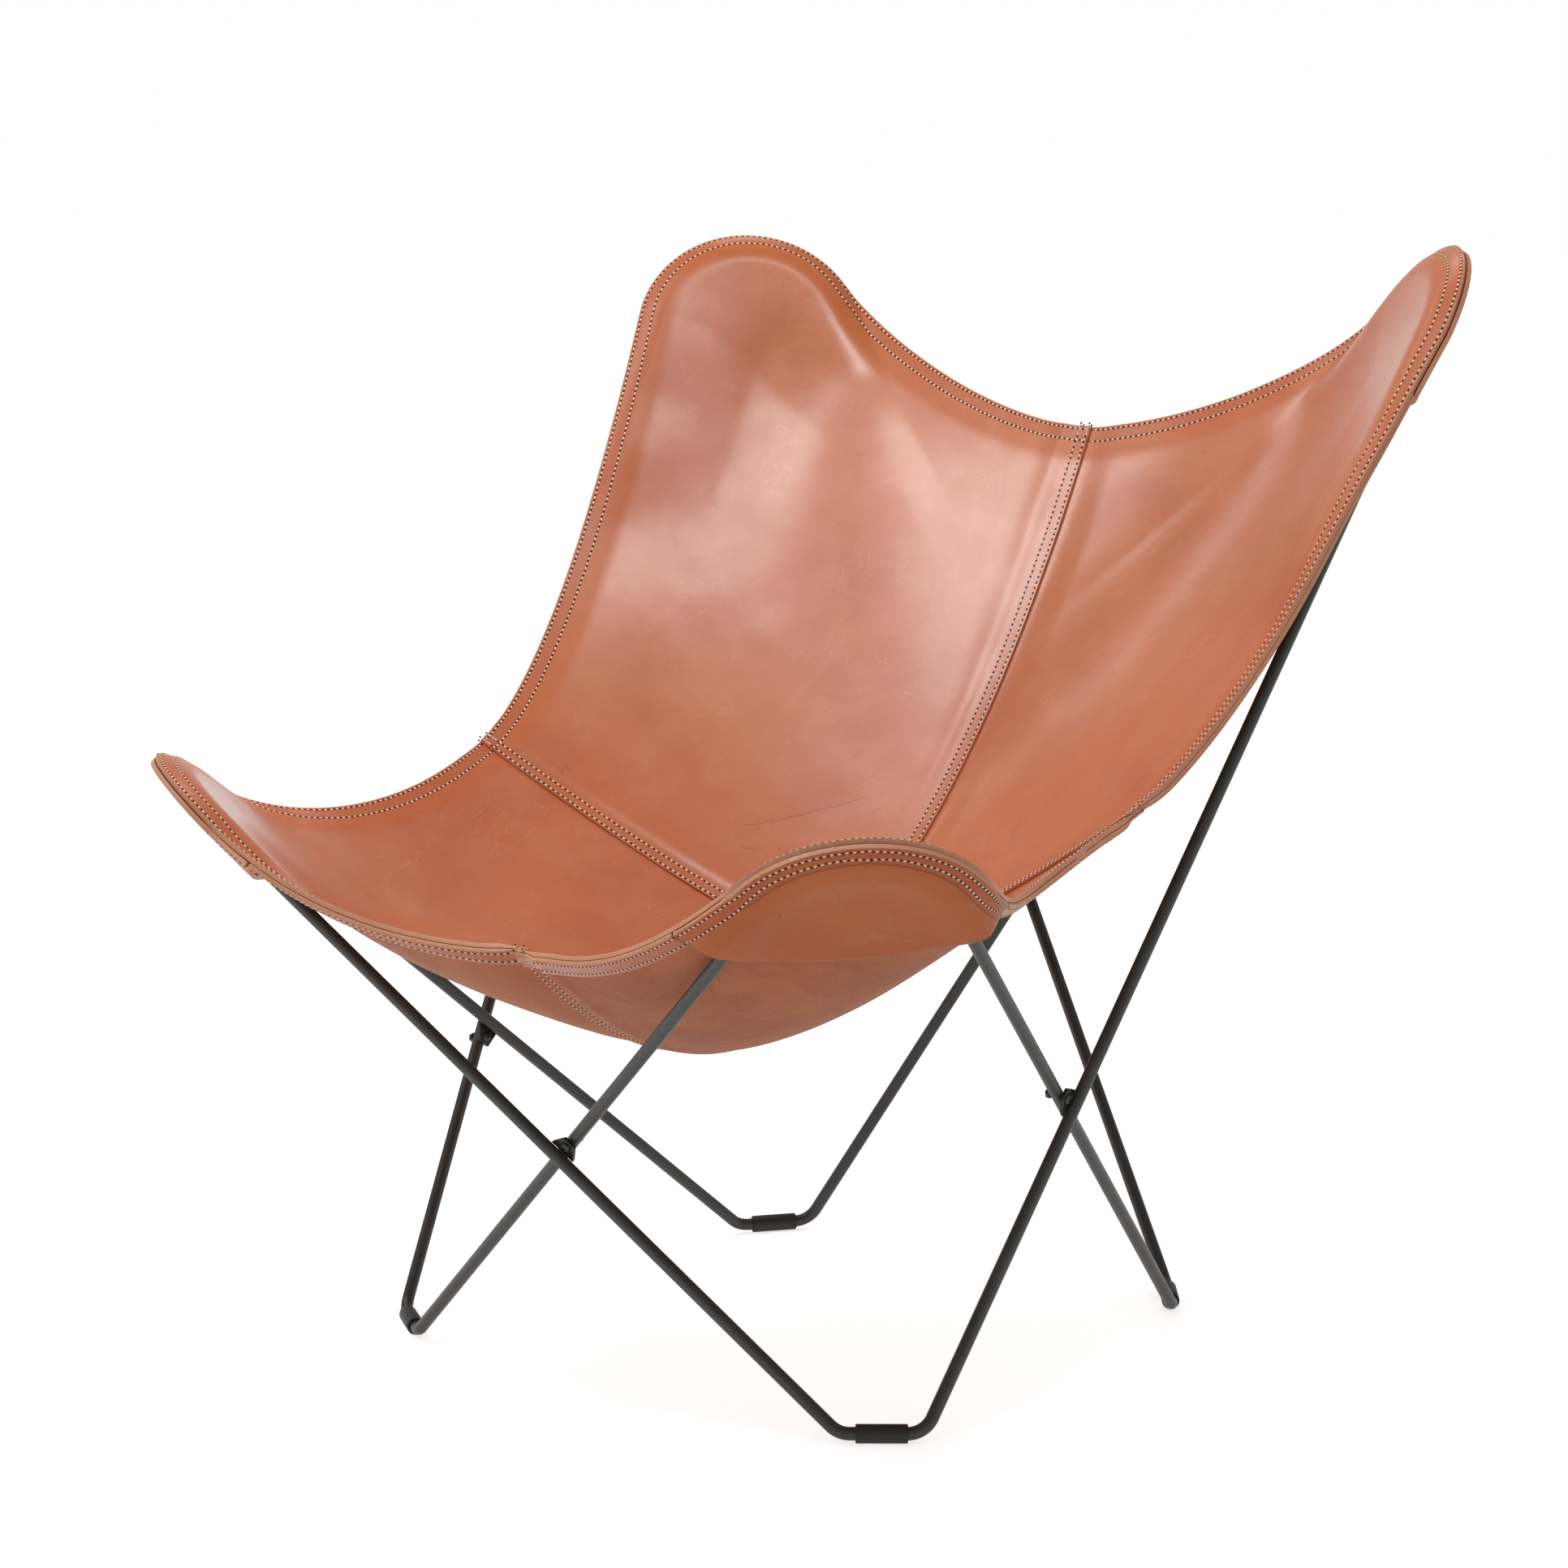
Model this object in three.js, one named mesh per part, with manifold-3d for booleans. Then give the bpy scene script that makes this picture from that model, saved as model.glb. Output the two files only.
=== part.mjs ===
import * as THREE from 'three';
import { mergeVertices } from 'three/addons/utils/BufferGeometryUtils.js';
import Module from 'manifold-3d';

// Butterfly sling chair, in millimetres, +Z up, front towards -Y, left and right as seen from the front.
// Two bent steel rod loops cross at the front, the back and both sides, and stand on four sleeves.
// A leather sling of four sewn panels hangs by a pocket from each of the loops' four upper bends.

// Rod loops. The two are alike and mirrored, and the left one stands further back.
const rodDiameter = 11;
const loopSpacing = 14.1;
const footFlat = 69;
const footBendRadius = 22;
const topBendRadius = 75;
const frontFootOut = 262;
const frontFootAhead = 204;
const frontFootDegrees = 37;
const backFootOut = 219;
const backFootBehind = 266.5;
const backFootDegrees = 53;
const frontTopOut = 414;
const frontTopAhead = 424;
const frontTopHeight = 583;
const backTopOut = 452;
const backTopBehind = 501.5;
const backTopHeight = 1085;
const rodSides = 12;
const topBendSteps = 12;
const footBendSteps = 6;

// Foot sleeves, pushed over the flat run of each foot
const sleeveWall = 2.1;
const sleeveLength = 42;
const sleeveChamfer = 1;
const sleeveSides = 20;
const fitGap = 0.3;

// Joints where the loops cross: a plate welded to the right loop and screwed through the left one
const plateThickness = 3;
const plateBase = 23;
const plateTip = 11;
const plateReach = 17;
const screwOffset = 11;
const screwDiameter = 5;
const screwHeadDiameter = 9;
const screwHeadHeight = 2.6;
const screwDomeShares = [[0.93, 0.5], [0.6, 0.9]];
const screwEnd = 1.5;
const nutWidth = 8;
const nutThickness = 4;
const screwSides = 16;

// Sling lines: the notches between two lobes, the middle, and how far each line keeps its direction
const edgeMargin = 34;
const frontNotchAhead = 341;
const frontNotchHeight = 390;
const frontNotchRun = 40;
const frontLobeRun = 165;
const backNotchBehind = 455;
const backNotchHeight = 762;
const backNotchRun = 86;
const backLobeRun = 100;
const sideNotchOut = 354;
const sideNotchBehind = 9;
const sideNotchHeight = 491;
const sideNotchFrontRun = 193;
const sideLobeFrontRun = 74;
const sideNotchBackRun = 148;
const sideLobeBackRun = 12;
const middleBehind = 75;
const middleHeight = 322;
const middleFrontRun = 225;
const middleBackRun = 215;
const seamFrontRun = 120;
const seamBackRun = 206;
const crossMiddleRun = 50;
const crossAim = 80;
const crossSideRun = 185;
const frontEdgeDrop = 3;
const backEdgeDrop = 5;
const middleSlopeShare = 0.62;
const frontSlopeShare = -0.88;
const backSlopeShare = 1.73;
const sideNotchAimShares = [0.17, 1, 0.4];
const lobeLeaveDegrees = 56;
const sideLeaveFrontDegrees = 51;
const sideLeaveBackDegrees = 74.5;

// Leather
const leatherThickness = 4;
const seamLap = 14;
const edgeBandWidth = 18;
const rodRelief = 1.5;
const rodCrown = 4;
const rodCrownRadius = 20;
const lobeSag = 4;
const liftSoftness = 4;
const bandRoomFrom = 90;
const bandRoomFade = 70;
const pocketRimReach = 168;
const pocketBow = 22;
const pocketToBand = 2;
const pocketRodMargin = 10;
const lobeSteps = 14;
const seamRampShares = [-1, 1, 3, 6];
const lobeEasingShare = 1.25;
const pocketRowShares = [0, 0.13, 0.27, 0.5, 0.75, 1];

const rodRadius = rodDiameter / 2;
const sleeveRadius = rodRadius + fitGap + sleeveWall;
const footRise = sleeveRadius * Math.cos(Math.PI / sleeveSides);
const toRadians = THREE.MathUtils.degToRad;
const steel = { color: 0x353432, roughness: 0.45, metalness: 0.75 };
const fastener = { color: 0x454341, roughness: 0.38, metalness: 0.85 };
const rubber = { color: 0x232322, roughness: 0.6, metalness: 0 };
const hide = { color: 0xb56a41, roughness: 0.42, metalness: 0 };
const hideBack = { color: 0x9a5c44, roughness: 0.7, metalness: 0 };

const wasm = await Module();
wasm.setup();

const chair = new THREE.Group();

function addPiece(name, geometry, look) {
  const mesh = new THREE.Mesh(geometry, new THREE.MeshStandardMaterial(look));
  mesh.name = name;
  chair.add(mesh);
  return mesh;
}

// A closed body from points and triangles, turned inside out where its volume comes out negative.
function closedBody(points, triangles) {
  let volume = 0;
  for (const [a, b, c] of triangles) {
    volume += points[a].dot(new THREE.Vector3().crossVectors(points[b], points[c]));
  }
  const order = volume < 0 ? triangles.map(([a, b, c]) => [a, c, b]) : triangles;
  const geometry = new THREE.BufferGeometry().setFromPoints(points);
  geometry.setIndex(order.flat());
  geometry.computeVertexNormals();
  return geometry;
}

// rods

// The corner of a rod path: its rounded centre line lies in the plane of the two runs that meet there.
function bendAt(before, apex, after, radius) {
  const toBefore = before.clone().sub(apex).normalize();
  const toAfter = after.clone().sub(apex).normalize();
  const halfAngle = toBefore.angleTo(toAfter) / 2;
  const out = toBefore.clone().add(toAfter).normalize().negate();
  const centre = apex.clone().addScaledVector(out, -radius / Math.sin(halfAngle));
  const normal = new THREE.Vector3().crossVectors(toBefore, toAfter).normalize();
  if (normal.z < 0) normal.negate();
  const side = toBefore.clone().addScaledVector(out, -toBefore.dot(out)).normalize();
  return { centre, out, side, normal, radius, halfAngle };
}

// An arc about a bend's centre, measured as an angle from the outward line towards one side.
class BendArc extends THREE.Curve {
  constructor(bend, sense, radius, fromAngle, toAngle, rise) {
    super();
    Object.assign(this, { bend, sense, radius, fromAngle, toAngle, rise });
  }

  getPoint(share, target = new THREE.Vector3()) {
    const angle = THREE.MathUtils.lerp(this.fromAngle, this.toAngle, share);
    return target.copy(this.bend.centre)
      .addScaledVector(this.bend.out, this.radius * Math.cos(angle))
      .addScaledVector(this.bend.side, this.sense * this.radius * Math.sin(angle))
      .addScaledVector(this.bend.normal, this.rise);
  }
}

// The corners of one loop before rounding, in order; hand is 1 for the right loop, -1 for the left one.
function loopCorners(hand) {
  const foot = (out, behind, headingDegrees, end) => new THREE.Vector3(
    out + end * footFlat / 2 * Math.cos(toRadians(headingDegrees)),
    behind + end * footFlat / 2 * Math.sin(toRadians(headingDegrees)),
    footRise);
  const corners = [
    foot(frontFootOut, -frontFootAhead, frontFootDegrees, -1),
    new THREE.Vector3(-frontTopOut, -frontTopAhead, frontTopHeight),
    foot(-backFootOut, backFootBehind, backFootDegrees, -1),
    foot(-backFootOut, backFootBehind, backFootDegrees, 1),
    new THREE.Vector3(backTopOut, backTopBehind, backTopHeight),
    foot(frontFootOut, -frontFootAhead, frontFootDegrees, 1),
  ];
  return corners.map((p) => new THREE.Vector3(hand * p.x, p.y - hand * loopSpacing / 2, p.z));
}

function loopBends(corners) {
  return corners.map((apex, i) => {
    const isTop = i === 1 || i === 4;
    const before = corners[(i + corners.length - 1) % corners.length];
    const after = corners[(i + 1) % corners.length];
    return bendAt(before, apex, after, isTop ? topBendRadius : footBendRadius);
  });
}

// Sweeps a round section along the loop and closes it, letting the section turn evenly over the rings.
function closedRod(bends) {
  const rings = [];
  for (const bend of bends) {
    const steps = bend.radius === topBendRadius ? topBendSteps : footBendSteps;
    const sweep = Math.PI / 2 - bend.halfAngle;
    const arc = new BendArc(bend, 1, bend.radius, sweep, -sweep, 0);
    for (let i = 0; i <= steps; i += 1) {
      rings.push({ at: arc.getPoint(i / steps), along: arc.getTangent(i / steps) });
    }
  }
  const square = (vector, along) => vector.addScaledVector(along, -vector.dot(along)).normalize();
  let facing = square(new THREE.Vector3(0, 0, 1), rings[0].along);
  for (const ring of rings) {
    facing = square(facing.clone(), ring.along);
    ring.facing = facing;
  }
  const first = rings[0];
  const last = square(facing.clone(), first.along);
  const turn = Math.atan2(first.along.dot(last.clone().cross(first.facing)), last.dot(first.facing));
  const facet = 2 * Math.PI / rodSides;
  const skipped = Math.round(turn / facet);
  const drift = turn - skipped * facet;
  const points = [];
  const triangles = [];
  rings.forEach((ring, i) => {
    const other = ring.along.clone().cross(ring.facing);
    for (let k = 0; k < rodSides; k += 1) {
      const angle = k * facet + drift * i / rings.length;
      points.push(ring.at.clone()
        .addScaledVector(ring.facing, rodRadius * Math.cos(angle))
        .addScaledVector(other, rodRadius * Math.sin(angle)));
    }
    const next = (i + 1) % rings.length;
    const shift = next === 0 ? rodSides - skipped : 0;
    for (let k = 0; k < rodSides; k += 1) {
      const a = i * rodSides + k;
      const b = i * rodSides + (k + 1) % rodSides;
      const c = next * rodSides + (k + shift) % rodSides;
      const d = next * rodSides + (k + 1 + shift) % rodSides;
      triangles.push([a, b, d], [a, d, c]);
    }
  });
  return closedBody(points, triangles);
}

// joining and cutting

function toSolid(geometry) {
  const bare = geometry.clone();
  bare.deleteAttribute('normal');
  bare.deleteAttribute('uv');
  const merged = mergeVertices(bare);
  return new wasm.Manifold(new wasm.Mesh({
    numProp: 3,
    vertProperties: new Float32Array(merged.attributes.position.array),
    triVerts: new Uint32Array(merged.index.array),
  }));
}

function toGeometry(solid) {
  const mesh = solid.getMesh();
  const geometry = new THREE.BufferGeometry();
  geometry.setAttribute('position', new THREE.BufferAttribute(new Float32Array(mesh.vertProperties), 3));
  geometry.setIndex(new THREE.BufferAttribute(new Uint32Array(mesh.triVerts), 1));
  geometry.computeVertexNormals();
  return geometry;
}

// Turns a geometry's X, Y and Z to three square directions and moves its origin to a place.
function seat(geometry, xWay, yWay, zWay, origin) {
  const matrix = new THREE.Matrix4().makeBasis(xWay, yWay, zWay).setPosition(origin);
  return geometry.clone().applyMatrix4(matrix);
}

// the two loops, and the joints where they cross

const rightCorners = loopCorners(1);
const leftCorners = loopCorners(-1);
const rightBends = loopBends(rightCorners);
const leftBends = loopBends(leftCorners);

// Closest points of two straight runs, with the line between them.
function crossingOf(fromA, toA, fromB, toB) {
  const wayA = toA.clone().sub(fromA).normalize();
  const wayB = toB.clone().sub(fromB).normalize();
  const between = fromB.clone().sub(fromA);
  const lean = wayA.dot(wayB);
  const spread = 1 - lean * lean;
  const alongA = (between.dot(wayA) - lean * between.dot(wayB)) / spread;
  const alongB = (lean * between.dot(wayA) - between.dot(wayB)) / spread;
  const atA = fromA.clone().addScaledVector(wayA, alongA);
  const atB = fromB.clone().addScaledVector(wayB, alongB);
  return { wayA, wayB, atA, atB };
}

// At each crossing the plate reaches from the right loop's rod (A) along the left loop's rod (B).
const crossings = [
  { place: 'front', a: [0, 1], b: [0, 1] },
  { place: 'back', a: [3, 4], b: [3, 4] },
  { place: 'right', a: [5, 4], b: [2, 1] },
  { place: 'left', a: [1, 2], b: [4, 5] },
].map(({ place, a, b }) => {
  const ends = [rightCorners[a[0]], rightCorners[a[1]], leftCorners[b[0]], leftCorners[b[1]]];
  return { place, ...crossingOf(...ends) };
});

function jointPieces({ place, wayA, wayB, atA, atB }) {
  const toA = atA.clone().sub(atB).normalize();
  const spread = atA.distanceTo(atB);
  const acrossA = wayB.clone().addScaledVector(wayA, -wayB.dot(wayA)).normalize();
  const lowFace = rodRadius + fitGap;
  const highFace = lowFace + plateThickness;
  // The plate's upper edge seats against the flank of rod A, at the height nearest to that rod's middle.
  const nearest = THREE.MathUtils.clamp(spread, lowFace, highFace);
  const flank = Math.sqrt(Math.max(0, (rodRadius + fitGap) ** 2 - (spread - nearest) ** 2));
  const lean = wayB.dot(wayA) / wayB.dot(acrossA);
  const outline = new THREE.Shape([
    new THREE.Vector2(flank * lean - plateBase / 2, flank),
    new THREE.Vector2(flank * lean + plateBase / 2, flank),
    new THREE.Vector2(plateReach * lean + plateTip / 2, plateReach),
    new THREE.Vector2(plateReach * lean - plateTip / 2, plateReach),
  ]);
  const screwAt = new THREE.Vector2(screwOffset * lean, screwOffset);
  const holeRadius = screwDiameter / 2 + fitGap;
  outline.holes.push(new THREE.Path().absarc(screwAt.x, screwAt.y, holeRadius, 0, 2 * Math.PI, true));
  const plate = new THREE.ExtrudeGeometry(outline, {
    depth: plateThickness, bevelEnabled: false, curveSegments: screwSides,
  });
  const isMirrored = new THREE.Vector3().crossVectors(acrossA, toA).dot(wayA) < 0;
  const flatWay = isMirrored ? wayA.clone().negate() : wayA;
  if (isMirrored) plate.applyMatrix4(new THREE.Matrix4().makeScale(-1, 1, 1));
  addPiece(`joint_plate_${place}`,
    closedFrom(seat(plate, flatWay, acrossA, toA, atB.clone().addScaledVector(toA, lowFace))), steel);

  // The screw's axis runs through rod B, square to both rods.
  const axisFoot = atB.clone().addScaledVector(wayA, screwAt.x).addScaledVector(acrossA, screwAt.y);
  const headFrom = highFace + fitGap;
  const nutFrom = -rodRadius - fitGap;
  const tip = nutFrom - nutThickness - screwEnd;
  const screwRadius = screwDiameter / 2;
  const headRadius = screwHeadDiameter / 2;
  const screw = new THREE.LatheGeometry([
    new THREE.Vector2(0, tip),
    new THREE.Vector2(screwRadius, tip),
    new THREE.Vector2(screwRadius, headFrom),
    new THREE.Vector2(headRadius, headFrom),
    ...screwDomeShares.map(([out, up]) => (
      new THREE.Vector2(headRadius * out, headFrom + screwHeadHeight * up))),
    new THREE.Vector2(0, headFrom + screwHeadHeight),
  ], screwSides);
  const third = new THREE.Vector3().crossVectors(wayA, toA).normalize();
  addPiece(`joint_screw_${place}`, closedFrom(seat(screw, wayA, toA, third, axisFoot)), fastener);

  const nutShape = new THREE.Shape();
  const nutCorner = nutWidth / 2 / Math.cos(Math.PI / 6);
  for (let i = 0; i < 6; i += 1) {
    const x = nutCorner * Math.cos(i * Math.PI / 3);
    const y = nutCorner * Math.sin(i * Math.PI / 3);
    if (i === 0) nutShape.moveTo(x, y);
    else nutShape.lineTo(x, y);
  }
  nutShape.closePath();
  nutShape.holes.push(new THREE.Path().absarc(0, 0, holeRadius, 0, 2 * Math.PI, true));
  const nut = new THREE.ExtrudeGeometry(nutShape, {
    depth: nutThickness, bevelEnabled: false, curveSegments: screwSides,
  });
  const nutAt = axisFoot.clone().addScaledVector(toA, nutFrom - nutThickness);
  addPiece(`joint_nut_${place}`,
    closedFrom(seat(nut, wayA, new THREE.Vector3().crossVectors(toA, wayA), toA, nutAt)), fastener);

  const bore = new THREE.CylinderGeometry(holeRadius, holeRadius, 4 * rodRadius, screwSides);
  return toSolid(closedFrom(seat(bore, wayA, toA, third, axisFoot)));
}

// Merges a standard shape's shared points, so that it is one closed body facing out.
const mergeShare = 0.001;

function closedFrom(geometry) {
  const bare = geometry.clone();
  bare.deleteAttribute('normal');
  bare.deleteAttribute('uv');
  const merged = mergeVertices(bare, fitGap * mergeShare);
  const at = merged.attributes.position;
  const points = [];
  for (let i = 0; i < at.count; i += 1) points.push(new THREE.Vector3().fromBufferAttribute(at, i));
  const triangles = [];
  for (let i = 0; i < merged.index.count; i += 3) {
    const corner = [0, 1, 2].map((k) => merged.index.getX(i + k));
    if (new Set(corner).size === 3) triangles.push(corner);
  }
  return closedBody(points, triangles);
}

let leftLoop = toSolid(closedRod(leftBends));
for (const crossing of crossings) leftLoop = leftLoop.subtract(jointPieces(crossing));
addPiece('frame_loop_right', closedRod(rightBends), steel);
addPiece('frame_loop_left', toGeometry(leftLoop), steel);

// foot sleeves: each has one flat facet on the floor

function addSleeve(name, end, otherEnd) {
  const facet = Math.PI / sleeveSides;
  const inner = (rodRadius + fitGap) / Math.cos(facet);
  const half = sleeveLength / 2;
  const profile = [
    new THREE.Vector2(inner, -half),
    new THREE.Vector2(sleeveRadius - sleeveChamfer, -half),
    new THREE.Vector2(sleeveRadius, sleeveChamfer - half),
    new THREE.Vector2(sleeveRadius, half - sleeveChamfer),
    new THREE.Vector2(sleeveRadius - sleeveChamfer, half),
    new THREE.Vector2(inner, half),
    new THREE.Vector2(inner, -half),
  ];
  const sleeve = new THREE.LatheGeometry(profile, sleeveSides, facet);
  const along = otherEnd.clone().sub(end).normalize();
  const up = new THREE.Vector3(0, 0, 1);
  const sideways = new THREE.Vector3().crossVectors(along, up);
  const place = end.clone().add(otherEnd).multiplyScalar(0.5);
  addPiece(name, closedFrom(seat(sleeve, sideways, along, up, place)), rubber);
}

addSleeve('foot_sleeve_front_right', rightCorners[0], rightCorners[5]);
addSleeve('foot_sleeve_back_left', rightCorners[2], rightCorners[3]);
addSleeve('foot_sleeve_front_left', leftCorners[0], leftCorners[5]);
addSleeve('foot_sleeve_back_right', leftCorners[2], leftCorners[3]);

// sling lines

// Each lobe hangs on one upper bend: the right loop's at the front left and back right, the left loop's at
// the other two.
const lobes = {
  front: { left: rightBends[1], right: leftBends[1] },
  back: { left: leftBends[4], right: rightBends[4] },
};

const frontNotch = new THREE.Vector3(0, -frontNotchAhead, frontNotchHeight);
const backNotch = new THREE.Vector3(0, backNotchBehind, backNotchHeight);
const middle = new THREE.Vector3(0, middleBehind, middleHeight);
const slope = (rise) => new THREE.Vector3(0, 1, rise).normalize();
const outward = { left: -1, right: 1 };

function sideNotch(hand) {
  return new THREE.Vector3(outward[hand] * sideNotchOut, sideNotchBehind, sideNotchHeight);
}

// Half of an outer edge: from a notch in an even sweep to a lobe, and round the rod's bend to its tip.
function edgeHalf(notch, aim, notchRun, lobeRun, bend, sense, leaveDegrees, drop) {
  const leave = toRadians(leaveDegrees);
  const arc = new BendArc(bend, sense, bend.radius + edgeMargin, leave, 0, -drop);
  const start = arc.getPoint(0);
  const down = bend.out.clone().multiplyScalar(-Math.sin(leave))
    .addScaledVector(bend.side, sense * Math.cos(leave));
  const path = new THREE.CurvePath();
  path.add(new THREE.CubicBezierCurve3(
    notch,
    notch.clone().addScaledVector(aim.clone().normalize(), notchRun),
    start.clone().addScaledVector(down, lobeRun),
    start));
  path.add(arc);
  return path;
}

function outerEdges(hand) {
  const x = outward[hand];
  const across = new THREE.Vector3(x, 0, 0);
  const front = lobes.front[hand];
  const back = lobes.back[hand];
  const [aimX, aimY, aimZ] = sideNotchAimShares;
  const backAim = new THREE.Vector3(x * aimX, aimY, aimZ);
  const notch = sideNotch(hand);
  return {
    front: edgeHalf(frontNotch, across, frontNotchRun, frontLobeRun, front, 1,
      lobeLeaveDegrees, frontEdgeDrop),
    back: edgeHalf(backNotch, across, backNotchRun, backLobeRun, back, 1,
      lobeLeaveDegrees, backEdgeDrop),
    sideFront: edgeHalf(notch, backAim.clone().negate(), sideNotchFrontRun, sideLobeFrontRun, front, -1,
      sideLeaveFrontDegrees, frontEdgeDrop),
    sideBack: edgeHalf(notch, backAim, sideNotchBackRun, sideLobeBackRun, back, -1,
      sideLeaveBackDegrees, backEdgeDrop),
  };
}

function crossSeam(hand) {
  const across = new THREE.Vector3(outward[hand], 0, 0);
  const notch = sideNotch(hand);
  const aim = notch.clone().sub(middle.clone().addScaledVector(across, crossAim)).normalize();
  return new THREE.CubicBezierCurve3(
    middle,
    middle.clone().addScaledVector(across, crossMiddleRun),
    notch.clone().addScaledVector(aim, -crossSideRun),
    notch);
}

const left = outerEdges('left');
const right = outerEdges('right');
const middleToFront = new THREE.CubicBezierCurve3(
  middle,
  middle.clone().addScaledVector(slope(middleSlopeShare), -middleFrontRun),
  frontNotch.clone().addScaledVector(slope(frontSlopeShare), seamFrontRun),
  frontNotch);
const middleToBack = new THREE.CubicBezierCurve3(
  middle,
  middle.clone().addScaledVector(slope(middleSlopeShare), middleBackRun),
  backNotch.clone().addScaledVector(slope(backSlopeShare), -seamBackRun),
  backNotch);
const crossLines = [
  [left.front, right.front],
  [crossSeam('left'), crossSeam('right')],
  [left.back, right.back],
];
const uprightLines = [
  [left.sideFront, left.sideBack],
  [middleToFront, middleToBack],
  [right.sideFront, right.sideBack],
];

// A point of a line across the sling, share -1 to 1, with an even run through its middle.
function onLine([before, after], share) {
  const lengthBefore = before.getLength();
  const lengthAfter = after.getLength();
  const mean = (lengthBefore + lengthAfter) / 2;
  const along = mean * share + (lengthAfter - lengthBefore) / 2 * share * share;
  return along < 0
    ? before.getPointAt(Math.min(1, -along / lengthBefore))
    : after.getPointAt(Math.min(1, along / lengthAfter));
}

const blend = (share) => [share * (share - 1) / 2, 1 - share * share, share * (share + 1) / 2];
const lineMeets = [-1, 0, 1].map((across) => crossLines.map((line) => onLine(line, across)));

// The sling's middle surface: blended through three lines across and three lines front to back.
function slingPoint(across, upright) {
  const point = new THREE.Vector3();
  const blendAcross = blend(across);
  const blendUpright = blend(upright);
  for (let i = 0; i < 3; i += 1) {
    point.addScaledVector(onLine(crossLines[i], across), blendUpright[i]);
    point.addScaledVector(onLine(uprightLines[i], upright), blendAcross[i]);
    for (let j = 0; j < 3; j += 1) {
      point.addScaledVector(lineMeets[i][j], -blendAcross[i] * blendUpright[j]);
    }
  }
  return point;
}

// leather over the rods

// Where a point lies about an upper bend: height over the loop's plane, place in it, and how far
// outside the rod's centre line.
function placeAtBend(bend, point) {
  const from = point.clone().sub(bend.centre);
  const height = from.dot(bend.normal);
  const outwards = from.dot(bend.out);
  const sideways = from.dot(bend.side);
  const legAcross = Math.abs(sideways);
  const along = -outwards * Math.cos(bend.halfAngle) + legAcross * Math.sin(bend.halfAngle);
  const pastRod = along > 0
    ? outwards * Math.sin(bend.halfAngle) + legAcross * Math.cos(bend.halfAngle) - bend.radius
    : Math.hypot(outwards, legAcross) - bend.radius;
  return { height, outwards, sideways, pastRod, along };
}

const leatherOverRod = rodRadius + fitGap + leatherThickness / 2 + rodRelief;

// The least height of the sling over a rod: a crown over the rod itself, and a slight sag inside it.
// Further down the legs than the pocket reaches, an outer edge has room for its band too.
function leastHeight({ pastRod, along }, nearEdge) {
  const beyond = Math.max(0, pastRod - rodCrown);
  const inside = Math.min(1, Math.max(0, -pastRod) / topBendRadius);
  const pastPocket = THREE.MathUtils.smoothstep(along, bandRoomFrom, pocketRimReach);
  const bandRoom = (leatherThickness + fitGap) * nearEdge * pastPocket;
  return leatherOverRod + bandRoom - beyond * beyond / (2 * rodCrownRadius) - lobeSag * inside * inside;
}

function liftOverRod(bend, point, nearEdge) {
  const place = placeAtBend(bend, point);
  const { height } = place;
  const least = leastHeight(place, nearEdge);
  const difference = height - least;
  const lifted = (height + least + Math.hypot(difference, liftSoftness)) / 2;
  return point.clone().addScaledVector(bend.normal, lifted - height);
}

// Directions square to a grid of points, towards the person who sits in the sling.
function gridNormals(grid) {
  const rows = grid.length;
  const columns = grid[0].length;
  return grid.map((row, i) => row.map((_, j) => {
    const alongRow = grid[Math.min(i + 1, rows - 1)][j].clone().sub(grid[Math.max(i - 1, 0)][j]);
    const alongColumn = grid[i][Math.min(j + 1, columns - 1)].clone().sub(grid[i][Math.max(j - 1, 0)]);
    return alongRow.cross(alongColumn).normalize();
  }));
}

// A sheet with thickness from a grid of points and the directions square to it.
function sheetBody(grid, normals, lowFace, highFace) {
  const rows = grid.length;
  const columns = grid[0].length;
  const points = [];
  for (const face of [lowFace, highFace]) {
    grid.forEach((row, i) => row.forEach((point, j) => {
      points.push(point.clone().addScaledVector(normals[i][j], face));
    }));
  }
  const low = (i, j) => i * columns + j;
  const high = (i, j) => rows * columns + low(i, j);
  const triangles = [];
  for (let i = 0; i < rows - 1; i += 1) {
    for (let j = 0; j < columns - 1; j += 1) {
      triangles.push([high(i, j), high(i + 1, j), high(i, j + 1)]);
      triangles.push([high(i + 1, j), high(i + 1, j + 1), high(i, j + 1)]);
      triangles.push([low(i, j), low(i, j + 1), low(i + 1, j)]);
      triangles.push([low(i + 1, j), low(i, j + 1), low(i + 1, j + 1)]);
    }
  }
  const border = [];
  for (let i = 0; i < rows - 1; i += 1) border.push([i, 0]);
  for (let j = 0; j < columns - 1; j += 1) border.push([rows - 1, j]);
  for (let i = rows - 1; i > 0; i -= 1) border.push([i, columns - 1]);
  for (let j = columns - 1; j > 0; j -= 1) border.push([0, j]);
  border.forEach(([i, j], k) => {
    const [nextI, nextJ] = border[(k + 1) % border.length];
    triangles.push([low(i, j), low(nextI, nextJ), high(i, j)]);
    triangles.push([low(nextI, nextJ), high(nextI, nextJ), high(i, j)]);
  });
  return closedBody(points, triangles);
}

// How much length one whole share of a line stands for, at the middle and at one of its ends.
function lengthsPerShare(lines, part) {
  const meanOver = (measure) => lines.reduce((sum, line) => sum + measure(line), 0) / lines.length;
  const lengthOf = (line, index) => line[index].getLength();
  return {
    atSeam: meanOver((line) => (lengthOf(line, 0) + lengthOf(line, 1)) / 2),
    atEdge: meanOver((line) => (3 * lengthOf(line, part) - lengthOf(line, 1 - part)) / 2),
  };
}

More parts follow.
